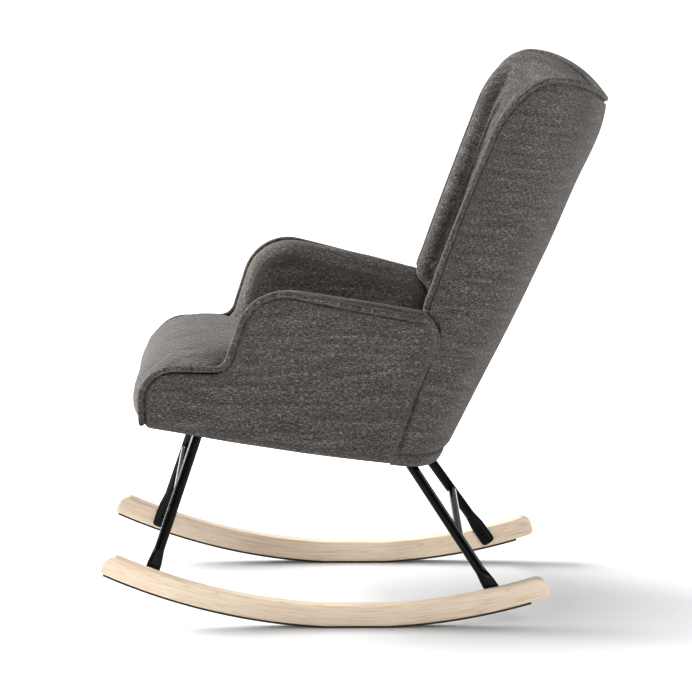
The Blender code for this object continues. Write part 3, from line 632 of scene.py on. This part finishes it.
def inside(point, outline):
    """Whether a point lies in a closed outline, by counting crossings."""
    u, v = point
    a, b = outline, np.roll(outline, -1, 0)
    crossing = (a[:, 1] > v) != (b[:, 1] > v)
    with np.errstate(divide="ignore", invalid="ignore"):
        reach = a[:, 0] + (v - a[:, 1]) / (b[:, 1] - a[:, 1]) * (b[:, 0] - a[:, 0])
    return bool(np.count_nonzero(crossing & (u < reach)) % 2)


def in_space(places, tall=1.0):
    """Places in a side's plane as points for ripple(), stretched upward by tall."""
    return np.stack([places[:, 0], tall * places[:, 1], places[:, 0] * 0], 1)


def side_loops(outline, rings):
    """The places, depths and places on the cloth of each ring's loop of points."""
    normals, length = outline_normals(outline), lengths_along(outline)
    count = len(outline)
    loops, depths, cloth = [], [], []
    over, last = np.zeros(count), None
    for rise, depth in rings:
        rise, depth = np.broadcast_to(rise, count), np.broadcast_to(depth, count)
        if last is not None:
            over = over + np.hypot(rise - last[0], depth - last[1])
        last = (rise, depth)
        loops.append(outline + normals * rise[:, None])
        depths.append(depth)
        cloth.append(np.stack([length, over], 1))
    return loops, depths, cloth


def side_form(name, side, outline, rings, crown, back, material, nodes):
    """A padded form in a side of the chair.

    rings are (rise outward from the outline, depth inward from the side's outer face) for each loop of
    points, each a number or one per outline point. The last loop is filled, and crown(distance, places) adds
    depth there. back is the depth of the flat that closes the form, hidden against its board.
    """
    count = len(outline)
    loops, depths, cloth = side_loops(outline, rings)
    inner, filling = fill_outline(loops[-1], 0.0075)
    crowned = depths[-1].mean() + crown(distance_to(inner, loops[-1]), inner)
    behind, filling_behind = fill_outline(loops[0], 0.03)
    first, tail = count * (len(rings) - 1), count * len(rings) + len(inner)
    faces = grid_faces(len(rings), count, closed=True)
    faces += [[first + i for i in face] for face in filling]
    faces += [[i if i < count else tail + i - count for i in reversed(face)] for face in filling_behind]
    places = np.vstack([*loops, inner, behind])
    depth = np.concatenate([*depths, crowned, np.full(len(behind), back)])
    cloth = np.vstack([*cloth[:-1], loops[-1], inner, behind])
    x = side * (spread(places[:, 0], places[:, 1]) - depth)
    points = np.stack([x, places[:, 0], places[:, 1]], 1)
    return mesh_piece(name, points, faces, material, cloth, nodes)


def both_sides(name, stems, outline, rings, crown, back, material):
    """The same padded form on the left and on the right, for the CAD nodes with these stems."""
    for hand, side in SIDES.items():
        nodes = [f"{stem}_{hand}" for stem in stems]
        piece = side_form(f"{name}_{hand}", side, outline, rings, crown, back, material, nodes)


def turned_under(outline):
    """1 along the side's bottom, where the cover is turned under, and 0 along its other edges."""
    low = np.clip((0.45 - outline[:, 1] - 0.15 * outline[:, 0]) / 0.10 - 0.35, 0, 1)
    return low * np.clip((outline_normals(outline)[:, 1] * -1 - 0.3) * 4, 0, 1)


def side_covers(material):
    """The outer sides: fabric over thin wadding, rolled in at the welt's seam and turned under below."""
    outline = resampled(np.vstack(list(side_arcs().values())), 0.005, closed=True)
    under = turned_under(outline)
    pucker = 0.0004 * ripple(in_space(outline), 130, 3.0)
    rings = [
        (-0.0034 + 0.0044 * under, SIDE_BACK + 0.011 * under),
        (-0.0030 + 0.0048 * under, 0.0050 + 0.005 * under),
        (-0.0032 + 0.0042 * under, 0.0032 + 0.0020 * under + pucker * 0.5),
        (-0.0046 + 0.0014 * under, 0.0014 + 0.0006 * under + pucker),
        (-0.0070, 0.0001 + pucker),
        (-0.0105, -0.0008 + pucker * 0.6),
    ]

    def crown(away, places):
        folds = 0.0007 * ripple(in_space(places, 2.2), 9, 1.0)
        return -0.0030 * (1 - np.exp(-away / 0.05)) + folds * (1 - np.exp(-away / 0.02)) + 0.0004

    both_sides("side_panel", ["side_cover"], outline, rings, crown, SIDE_BACK, material)


def arm_outline():
    """The arm from its root over the top to its rear, then down and forward inside the seat."""
    arcs = side_arcs()
    root = arcs["arm_root"]
    over = np.vstack([root[len(root) // 2 :], arcs["arm_front"], arcs["arm_rear"]])
    outline = resampled(np.vstack([over, ARM_LOWER]), 0.006, closed=True)
    soft = np.clip((0.43 - outline[:, 1:]) / 0.03, 0, 1)
    for _ in range(120):
        outline = outline + soft * 0.25 * (np.roll(outline, 1, 0) + np.roll(outline, -1, 0) - 2 * outline)
    return resampled(outline, 0.006, closed=True)


def arm_top(outline):
    """1 on top of the arm, falling to 0 round its front, its rear and below."""
    facing = outline_normals(outline)
    top = np.clip((facing[:, 1] + 0.6) * 2, 0, 1) * np.clip((outline[:, 1] - 0.43) / 0.05, 0, 1)
    return top * (1 - np.clip(facing[:, 0] * 1.4 - 0.3, 0, 1))


def arms(material):
    """The arms: boxing over the top, crowned more towards the rear, and rolled into the padded inner face."""
    outline = arm_outline()
    lift = eased(outline[:, 0], ARM_LIFT_Y, ARM_LIFT) * arm_top(outline)
    pucker = 0.0006 * ripple(in_space(outline), 70, 6.0)
    rings = [
        (-0.0050, 0.0040),
        (0.0012, 0.0052),
        (0.0038, 0.0080),
        (0.0034 + 0.34 * lift, 0.0130),
        (0.0022 + 0.72 * lift + pucker, 0.0220),
        (0.0008 + 0.94 * lift + pucker, 0.0320),
        (0.92 * lift + pucker, 0.0420),
        (0.60 * lift - 0.0008, 0.0515),
        (0.05 * lift - 0.0030, 0.0590),
        (-0.0075, 0.0645),
        (-0.0135, 0.0672),
        (-0.0210, 0.0684),
    ]

    def crown(away, places):
        folds = 0.0012 * ripple(in_space(places, 1.8), 11, 8.0)
        return 0.0055 * (1 - np.exp(-away / 0.04)) + folds * (1 - np.exp(-away / 0.03))

    both_sides("arm_cushion", ["arm_pad", "arm_boxing"], outline, rings, crown, ARM_BACK, material)


def side_welts(material):
    arcs = side_arcs()
    edge = [arcs["toe"][-1:], arcs["seat_front"], arcs["arm_root"], arcs["arm_front"]]
    edge = resampled(np.vstack([*edge, arcs["arm_rear"][:1]]), 0.004)
    route = edge + outline_normals(edge, closed=False) * (PIPE_RADIUS + GAP)
    for hand, side in SIDES.items():
        path = np.stack([side * (spread(route[:, 0], route[:, 1]) - SKIN), route[:, 0], route[:, 1]], 1)
        welt(f"side_welt_{hand}", path, PIPE_RADIUS, (1, 0, 0), material, [f"side_piping_{hand}"], side)


# ---- seat

SEAT_SEAM = (  # (y, z) of the seat's side seam, from under the front up and over to the rear
    (-0.356, 0.355), (-0.366, 0.358), (-0.3715, 0.374), (-0.3735, 0.395), (-0.3735, 0.414),
    (-0.369, 0.433), (-0.359, 0.448), (-0.343, 0.458), (-0.319, 0.4605), (-0.285, 0.46),
    (-0.25, 0.458), (-0.2, 0.452), (-0.1, 0.438), (0.0, 0.42), (0.09, 0.404),
)
SEAT_MIDDLE = (  # and of the seat's middle
    (-0.356, 0.356), (-0.376, 0.359), (-0.388, 0.37), (-0.3945, 0.388), (-0.393, 0.409),
    (-0.385, 0.431), (-0.371, 0.451), (-0.35, 0.468), (-0.323, 0.48), (-0.288, 0.485),
    (-0.25, 0.483), (-0.2, 0.476), (-0.1, 0.459), (0.0, 0.44), (0.09, 0.421),
)
SEAT_UNDER = ((0.0950, 0.3800), (0.0300, 0.3760), (-0.1500, 0.4020), (-0.3300, 0.4180), (-0.3420, 0.3900))
BETWEEN_ARMS_Y = (-0.21, -0.10, 0.0, 0.10)
BETWEEN_ARMS_X = (0.2440, 0.2360, 0.2250, 0.2010)
SEAT_ROWS = 70
SEAT_COLUMNS = 72


def smooth_path(points, count):
    """An even, rounded path through the points."""
    points = np.asarray(points, float)
    length = lengths_along(points)
    at = np.linspace(0, length[-1], count)
    return np.stack([eased(at, length, points[:, k]) for k in range(points.shape[1])], 1)


def seat_half_width(y, z):
    """In front the seat reaches the welts, and further back it is held between the arms."""
    front = spread(y, np.minimum(z, SEAT_LINE)) - 0.0075
    between = eased(y, BETWEEN_ARMS_Y, BETWEEN_ARMS_X)
    share = eased(y, (-0.240, -0.208), (0.0, 1.0))
    return front + (between - front) * share


def seat_column(u, crown, seam, middle, under):
    """Points over and under the seat at the share u of its half width."""
    place = seam + (middle - seam) * crown
    x = u * seat_half_width(seam[:, 0], seam[:, 1])
    swell = 0.0018 * ripple(np.stack([x, place[:, 0], place[:, 1]], 1), 11, 2.0) * crown
    place = place + outline_normals(place, closed=False) * swell[:, None]
    x_under = u * (seat_half_width(under[:, 0], under[:, 1]) - 0.006)
    return np.column_stack([np.concatenate([x, x_under]), np.vstack([place, under])])


def seat(material):
    """The seat with its front roll: crowned across, pulled down to the seams at its sides."""
    seam, middle = smooth_path(SEAT_SEAM, SEAT_ROWS), smooth_path(SEAT_MIDDLE, SEAT_ROWS)
    under = resampled(np.vstack([middle[-1:], SEAT_UNDER, middle[:1]]), 0.02)[1:-1]
    share = np.sin(np.linspace(-1, 1, SEAT_COLUMNS) * math.pi / 2)
    rise = np.maximum(1 - np.abs(share) ** 4.0, 0) ** 0.42
    length = lengths_along(middle)
    length = np.concatenate([length, length[-1] + 0.02 * np.arange(len(under))])
    points, cloth = [], []
    for u, crown in zip(share, rise):
        column = seat_column(u, crown, seam, middle, under)
        points += list(column)
        cloth += list(np.stack([length, 0.75 * column[:, 0]], 1))
    loop = SEAT_ROWS + len(under)
    faces, nodes = tube_faces(SEAT_COLUMNS, loop), ["seat_foam", "seat_front_roll"]
    piece = mesh_piece("seat_cushion", points, faces, material, cloth, nodes)
    ends = set(range(loop)) | set(range(len(points) - loop, len(points)))
    held = [i for i in range(len(points)) if i in ends or not 4 <= i % loop < SEAT_ROWS - 3]
    puff(piece, 3.0, held)


# ---- back

TUCK_Z = (0.46, 0.50)  # the cover's edge comes out from behind the sides between these heights
TUCK_ANGLE = 0.024
TUCK_WIDTH = 0.0068
COVER_COLUMNS = 121
BAND_ROWS = 9
PAD_ROWS = 96
PAD_COLUMNS = 101
PAD_LOW = 0.362
PAD_THICK = 0.082
PAD_THINNER = 0.034  # how much less at the wings' edges
PAD_BEHIND = 0.0325  # depth of the flat behind the pad
RIM_START = 0.020  # how far inside the edge the pad's roll starts
RIM_REACH = 0.13  # how far in the pad's face is drawn in to make room for it
RIM_BACK = 0.0034  # depth at which the roll meets the cover's seam
RIM_TURNS = (0, 13, 26, 39, 52, 65, 78, 90, 102, 116, 130, 144, 156, 166, 175)


def plan_point(angle, z):
    """(x, y) of the back's outer face: angle 0 is the middle of the rear and 90 degrees the wing's front."""
    power = 2.0 / (3.0 - (z - 0.30) / 0.63)
    half = BACK_HALF_WIDTH + BACK_SPREAD * np.maximum(0.0, z - BACK_SPREAD_FROM) ** 2
    x = half * np.sign(angle) * np.abs(np.sin(angle)) ** power
    y = eased(z, REAR_Z, REAR_Y) - BACK_DEPTH + BACK_DEPTH * np.abs(np.cos(angle)) ** power
    return np.stack([x, y], -1)


def back_inward(angle, z):
    """The level direction into the chair, square to the back's outer face."""
    step = math.radians(1.0)
    along = plan_point(angle + step, z) - plan_point(angle - step, z)
    inward = unit(np.stack([-along[..., 1], along[..., 0]], -1))
    return inward * np.where(inward[..., 1:] > 0, -1.0, 1.0)


def back_point(angle, z, depth):
    angle, z, depth = np.broadcast_arrays(*[np.asarray(value, float) for value in (angle, z, depth)])
    place = plan_point(angle, z) + back_inward(angle, z) * depth[..., None]
    return np.concatenate([place, z[..., None]], -1)


def edge_angle(z):
    """The angle at which the back ends forwards, found by halving."""
    z = np.asarray(z, float)
    goal = eased(z, EDGE_Z, EDGE_Y)
    low, high = np.zeros(z.shape), np.full(z.shape, math.radians(89))
    for _ in range(30):
        middle = (low + high) / 2
        ahead = plan_point(middle, z)[..., 1] > goal
        low, high = np.where(ahead, middle, low), np.where(ahead, high, middle)
    return low


def top_edge(share):
    """Height of the back's top: low in the middle, rising to the wings and rounded off at their corners."""
    share = np.minimum(np.abs(share), 1.0)
    rise = np.sin(math.pi / 2 * np.minimum(share / TOP_SHOULDER, 1.0)) ** TOP_POWER
    beyond = np.maximum(0.0, (share - TOP_SHOULDER) / (1 - TOP_SHOULDER))
    return BACK_TOP + TOP_RISE * rise - CORNER_DROP * (1 - np.sqrt(1 - beyond**2))


def seam_height(share, rise):
    place = plan_point(share * edge_angle(BASE_Z), np.full(np.shape(share), BASE_Z))
    return BASE_Z - BASE_SLOPE * place[..., 1] + rise


def back_sheet(low, high, rows, columns, edge=edge_angle):
    """Angles and heights of a grid over the back, rows from low(share) up to high(share)."""
    share = np.linspace(-1, 1, columns)
    share = 1.5 * share - 0.5 * share**3  # closer together towards the edges
    climb = np.linspace(0, 1, rows)[:, None]
    z = low(share) + (high(share) - low(share)) * climb
    return share[None] * edge(z), z


def from_borders(points):
    """Distances along the surface to the nearer side, the bottom and the top, and across from the middle."""
    across = np.linalg.norm(np.diff(points, axis=1), axis=2)
    across = np.concatenate([np.zeros((len(points), 1)), np.cumsum(across, 1)], 1)
    up = np.linalg.norm(np.diff(points, axis=0), axis=2)
    up = np.concatenate([np.zeros((1, points.shape[1])), np.cumsum(up, 0)], 0)
    return np.minimum(across, across[:, -1:] - across), up, up[-1:] - up, across - across[:, -1:] / 2


def shell(name, angle, z, outer, inner, material, nodes):
    """A closed layer of the back between two depths under its outer face."""
    rows, columns = angle.shape
    count = rows * columns
    outer_face, inner_face = back_point(angle, z, outer), back_point(angle, z, inner)
    _, up, _, across = from_borders(outer_face)
    cloth = np.stack([across, up], -1).reshape(-1, 2)
    faces = grid_faces(rows, columns)
    faces += [tuple(i + count for i in reversed(f)) for f in grid_faces(rows, columns)]
    rim = list(range(columns)) + [r * columns + columns - 1 for r in range(1, rows)]
    rim += [count - 1 - c for c in range(1, columns)] + [r * columns for r in range(rows - 2, 0, -1)]
    faces += [(b, a, a + count, b + count) for a, b in zip(rim, rim[1:] + rim[:1])]
    points = np.vstack([outer_face.reshape(-1, 3), inner_face.reshape(-1, 3)])
    return mesh_piece(name, points, faces, material, np.vstack([cloth, cloth]), nodes)


def tucked_edge(z):
    """Below the arms the cover's edge is tucked in behind the sides."""
    return edge_angle(z) + eased(z, TUCK_Z, (TUCK_ANGLE, 0.0))


def back_cover(material):
    """The outer cover, drawn in along its seams, with soft folds and puckers beside them."""
    angle, z = back_sheet(lambda s: seam_height(s, SEAM_RISE), top_edge, 130, COVER_COLUMNS, tucked_edge)
    surface = back_point(angle, z, 0.0)
    sides, up, down, _ = from_borders(surface)
    border = np.minimum(np.minimum(sides, up), down)
    spots = surface.reshape(-1, 3)
    folds = 0.0008 * ripple(spots * np.array([2.0, 2.0, 1.0]), 7, 4.0).reshape(z.shape)
    pucker = 0.0005 * ripple(spots, 75, 9.0).reshape(z.shape) * np.exp(-border / 0.012)
    hidden = eased(z, TUCK_Z, (TUCK_WIDTH, 0.0))
    sink = 0.0080 * np.exp(-((np.maximum(border - hidden, 0) / 0.0032) ** 2))
    outer = sink + folds * (1 - np.exp(-border / 0.03)) + pucker - 0.0006
    piece = shell("back_outer", angle, z, outer, SKIN + 0.0060, material, ["back_cover"])


def base_band(material):
    """The narrow covered band at the rear of the seat's base, under the back."""

    def low(share):
        return seam_height(share, -BAND_DROP - 0.003 * (1 - share**4))

    def high(share):
        return seam_height(share, SEAM_RISE + 0.0030)

    angle, z = back_sheet(low, high, BAND_ROWS, COVER_COLUMNS, tucked_edge)
    climb = np.linspace(0, 1, BAND_ROWS)[:, None]
    bulge = 0.0065 - 0.0045 * np.sqrt(np.maximum(1 - (2 * climb - 1) ** 2, 0)) + angle * 0
    piece = shell("back_base_band", angle, z, bulge, 0.009, material, ["rear_base_band"])


def back_edge_route():
    """Angles and heights up one wing's front edge, over the top and down the other's, from x > 0 to x < 0."""
    climb_z = np.linspace(PIPE_LOW, float(top_edge(1.0)), 70)[:-1]
    share = np.linspace(1, -1, 260)
    share = np.sign(share) * (1 - (1 - np.abs(share)) ** 1.7)
    over_z = top_edge(share)
    angle = np.concatenate([edge_angle(climb_z), share * edge_angle(over_z), -edge_angle(climb_z)[::-1]])
    return angle, np.concatenate([climb_z, over_z, climb_z[::-1]])


def back_welt(material):
    angle, z = back_edge_route()
    edge, below = back_point(angle, z, SKIN / 2), back_point(angle, z, SKIN / 2 + 0.01)
    away = unit(np.cross(np.gradient(edge, axis=0), below - edge))
    path = edge + away * (BACK_PIPE_RADIUS + 0.0009)
    welt("back_welt", path, BACK_PIPE_RADIUS, (0.2, 1, 0.3), material, ["back_piping"], 2.0)


def pad_edge(z):
    """Beside the arms the pad stops short, to leave room for them."""
    return edge_angle(z) - np.radians(eased(z, (0.470, 0.520), (6.0, 0.0)))


def pad_thickness(angle, z, surface, down):
    """Thickest in the middle, with a swell for the lower back, and thinner along the wings and the top."""
    share = np.abs(angle) / np.maximum(pad_edge(z), 1e-6)
    thick = PAD_THICK - PAD_THINNER * np.clip(share, 0, 1) ** 2
    thick += 0.012 * np.exp(-(((z - 0.53) / 0.09) ** 2)) * (1 - share**2)
    thick -= 0.006 * np.exp(-((down / 0.05) ** 2))
    return thick + 0.0015 * ripple(surface.reshape(-1, 3), 9, 5.0).reshape(z.shape)


def pad_rim(rows, columns):
    """Grid indices up the edge on the sitter's left, over the top and down the right one."""
    rim = [r * columns + columns - 1 for r in range(rows)]
    rim += [rows * columns - 1 - c for c in range(1, columns)]
    return rim + [r * columns for r in range(rows - 2, -1, -1)]


def rim_frame(angle, z):
    """The rim's line on the outer face, and the directions inward and away from the pad there."""
    edge, below = back_point(angle, z, 0.0), back_point(angle, z, 0.01)
    inward = unit(below - edge)
    away = unit(np.cross(np.gradient(edge, axis=0), inward))
    for _ in range(12):
        away[1:-1] = unit(2 * away[1:-1] + away[2:] + away[:-2])
    return edge, inward, away


def rim_rings(edge, inward, away, thick, z):
    """Loops of the roll, from the pad's face forward and over to the cover's seam, then in behind it."""
    bulge = 0.0045 + 0.0040 * eased(z, (0.490, 0.540), (0.0, 1.0))
    mid, half = (thick + RIM_BACK) / 2, (thick - RIM_BACK) / 2
    rings = []
    for turn in np.radians(RIM_TURNS):
        start, power = (RIM_START, 1.0) if turn < math.pi / 2 else (0.0015, 0.6)
        rise = -start + (start + bulge) * math.sin(turn) ** power
        depth = mid + half * math.cos(turn)
        rings.append(edge + inward * depth[:, None] + away * rise[:, None])
    rings.append(edge + inward * 0.0050 - away * 0.0100)
    rings.append(edge + inward * 0.0290 - away * 0.0130)
    return rings


def drawn_in(face, sides, down, ring, away):
    """The pad's face with its border moved in, so that the roll starts inside the edge."""
    pull = np.clip(1 - np.minimum(sides, down) / RIM_REACH, 0, 1).reshape(-1)
    pull = pull * pull * (3 - 2 * pull)
    nearest = np.argmin(np.linalg.norm(face[:, None] - ring[None, ::4], axis=2), axis=1)
    return face - away[::4][nearest] * (RIM_START * pull)[:, None]


def pad_faces(rows, columns, rim, loops):
    """Faces of the pad's face, of the roll's loops, of the flat behind and of the underside."""
    count, around = rows * columns, len(rim)
    behind = count + loops * around
    paths = [rim]
    paths += [range(count + k * around, count + (k + 1) * around) for k in range(loops)]
    paths += [[behind + i for i in rim]]
    faces = grid_faces(rows, columns)
    for near, far in zip(paths, paths[1:]):
        faces += [(near[i], near[i + 1], far[i + 1], far[i]) for i in range(around - 1)]
    faces += [tuple(behind + i for i in reversed(f)) for f in grid_faces(rows, columns)]
    faces += [(c + 1, c, behind + c, behind + c + 1) for c in range(columns - 1)]
    return faces + [[path[end] for path in paths] for end in (0, around - 1)]


def pad_cloth(across, up, rim, rings, on_top):
    """Where the pad's points lie on the cloth: the face as it is, and the roll carried on beyond it."""
    grid = np.stack([across, up], -1).reshape(-1, 2)
    steps = [np.linalg.norm(b - a, axis=1).mean() for a, b in zip(rings, rings[1:])]
    way = np.stack([np.sign(across).reshape(-1)[rim], np.zeros(len(rim))], 1)
    way[on_top] = (0.0, 1.0)
    return np.vstack([grid, *[grid[rim] + way * beyond for beyond in np.cumsum(steps)], grid])


def back_pad(material):
    """The inner back with its wings: a thick pad whose rim rolls forward and over to the cover's seam."""
    rows, columns = PAD_ROWS, PAD_COLUMNS
    angle, z = back_sheet(lambda s: np.full(np.shape(s), PAD_LOW), top_edge, rows, columns, pad_edge)
    surface = back_point(angle, z, 0.0)
    sides, up, down, across = from_borders(surface)
    thick = pad_thickness(angle, z, surface, down)
    rim = pad_rim(rows, columns)
    rim_z = z.reshape(-1)[rim]
    edge, inward, away = rim_frame(angle.reshape(-1)[rim], rim_z)
    rings = rim_rings(edge, inward, away, thick.reshape(-1)[rim], rim_z)
    face = drawn_in(back_point(angle, z, thick).reshape(-1, 3), sides, down, rings[0], away)
    face[rim] = rings[0]
    behind = back_point(angle, z, PAD_BEHIND).reshape(-1, 3)
    behind[rim] = edge + inward * PAD_BEHIND - away * 0.0140
    points = np.vstack([face, *rings[1:], behind])
    faces = pad_faces(rows, columns, rim, len(rings) - 1)
    cloth = pad_cloth(across, up, rim, rings, slice(rows, rows + columns - 2))
    piece = mesh_piece("back_cushion", points, faces, material, cloth, ["back_pad"])
    held = list(range(len(face) + 6 * len(rim), len(points))) + list(range(columns))
    held += list(np.flatnonzero(np.minimum(sides, down).reshape(-1) < 0.03))
    puff(piece, 2.0, held)


# ---- rockers


def bar_loft(stations, width, corner):
    """A bent bar of rectangular section with rounded edges.

    stations are (y, z) of its lower and upper edges, and how much narrower each side is there.
    """
    points = []
    for low, high, ease in stations:
        low, high = np.array(low), np.array(high)
        height = np.linalg.norm(high - low)
        up = (high - low) / height
        r = min(corner, height * 0.45)
        half = width / 2 - ease
        for sx, sz, first in ((1, -1, -90), (1, 1, 0), (-1, 1, 90), (-1, -1, 180)):
            for k in range(5):
                turn = math.radians(first + 90 * k / 4)
                x = sx * (half - r) + r * math.cos(turn)
                h = height / 2 + sz * (height / 2 - r) + r * math.sin(turn)
                points.append((x, *(low + up * h)))
    return points, tube_faces(len(stations), len(points) // len(stations))


def on_arc(radius, angle):
    """(y, z) on a circle about the rockers' centre, levelled off where the chair stands."""
    y, z = radius * math.sin(angle), ARC_Z - radius * math.cos(angle)
    return y, max(z, RUN_RADIUS - radius)


def corner_drop(radius, run):
    """How far a rounded corner lies below its edge, at a distance from the end."""
    return radius - math.sqrt(max(radius**2 - max(radius - run, 0) ** 2, 0))


def rocker_end(angle, way, low_radius):
    """The stations of one end, with its corners rounded in side view and its sides eased in."""
    top = WOOD_RADIUS - ROCKER_DEPTH
    part = []
    for k in range(END_STEPS + 1):
        turn = math.pi / 2 * k / END_STEPS
        run = END_ROUND * (1 - math.cos(turn))
        at = angle + way * run / WOOD_RADIUS
        low = on_arc(WOOD_RADIUS - corner_drop(low_radius, run), at)
        high = on_arc(top + corner_drop(END_ROUND, run), at)
        part.append((low, high, 0.0022 * (1 - math.sin(turn)) ** 2))
    return part


def rocker_stations():
    """Lower and upper edge points along a rocker."""
    first, last = ROCKER_ENDS
    inset = END_ROUND / WOOD_RADIUS
    angles = np.linspace(first + inset, last - inset, 150)[1:-1]
    body = [(on_arc(WOOD_RADIUS, a), on_arc(WOOD_RADIUS - ROCKER_DEPTH, a), 0.0) for a in angles]
    front, rear = rocker_end(first, 1, END_ROUND_LOW[0]), rocker_end(last, -1, END_ROUND_LOW[1])
    return front + body + rear[::-1]


def rockers(wood, rubber):
    angles = np.linspace(*STRIP_ENDS, 140)
    strip = [(on_arc(RUN_RADIUS, a), on_arc(RUN_RADIUS - STRIP_DEPTH, a), 0.0) for a in angles]
    bars = [
        ("rocker_bend", bar_loft(rocker_stations(), ROCKER_WIDTH, 0.0028), wood, "rocker", "ash"),
        ("running_strip", bar_loft(strip, STRIP_WIDTH, 0.0008), rubber, "rocker_strip", "rubber"),
    ]
    for hand, side in SIDES.items():
        for name, (points, faces), material, node, slot in bars:
            placed = [(x + side * ROCKER_X, y, z) for x, y, z in points]
            mesh_piece(f"{name}_{hand}", placed, faces, material, None, [f"{node}_{hand}"])


# ---- all together


def node_materials(found):
    """Every CAD node gets its procedural material, shown or not."""
    kinds = [
        (("rocker_strip",), "rubber"),
        (("rocker", "seat_rail", "back_top_rail", "back_bottom_rail"), "ash"),
        (("corner_block", "arm_panel", "wing_panel"), "ply"),
        (("leg_", "crossbar", "foot_screw"), "enamel"),
        (("plate_bolt", "seat_spring"), "zinc"),
        (("dust_cover", "back_webbing"), "lining"),
        (("seat_foam", "back_pad", "arm_pad"), "foam"),
    ]
    for name, node in NODES.items():
        kind = next((made for starts, made in kinds if name.startswith(starts)), "weave")
        node.data.materials.clear()
        node.data.materials.append(found[kind])


def main():
    weave = weave_material("melange_weave")
    ash = ash_material("ash_bent")
    found = {
        "weave": weave,
        "ash": ash_material("ash_straight", bent=False),
        "ply": plain_material("birch_ply", (0.7, 0.7)),
        "enamel": plain_material("black_enamel", (0.10, 0.20), 0.35, 0.75, Specular_IOR_Level=0.11),
        "rubber": plain_material("black_rubber", (0.60, 0.85)),
        "zinc": plain_material("zinc_plate", (0.25, 0.45), Metallic=1.0),
        "lining": plain_material("black_lining", (0.95, 0.95), Sheen_Weight=0.2),
        "foam": plain_material("foam", (0.95, 0.95)),
    }
    node_materials(found)
    make_camera()
    make_studio()
    side_covers(weave)
    arms(weave)
    side_welts(weave)
    seat(weave)
    back_cover(weave)
    base_band(weave)
    back_welt(weave)
    back_pad(weave)
    rockers(ash, found["rubber"])


main()
bpy.context.view_layer.update()
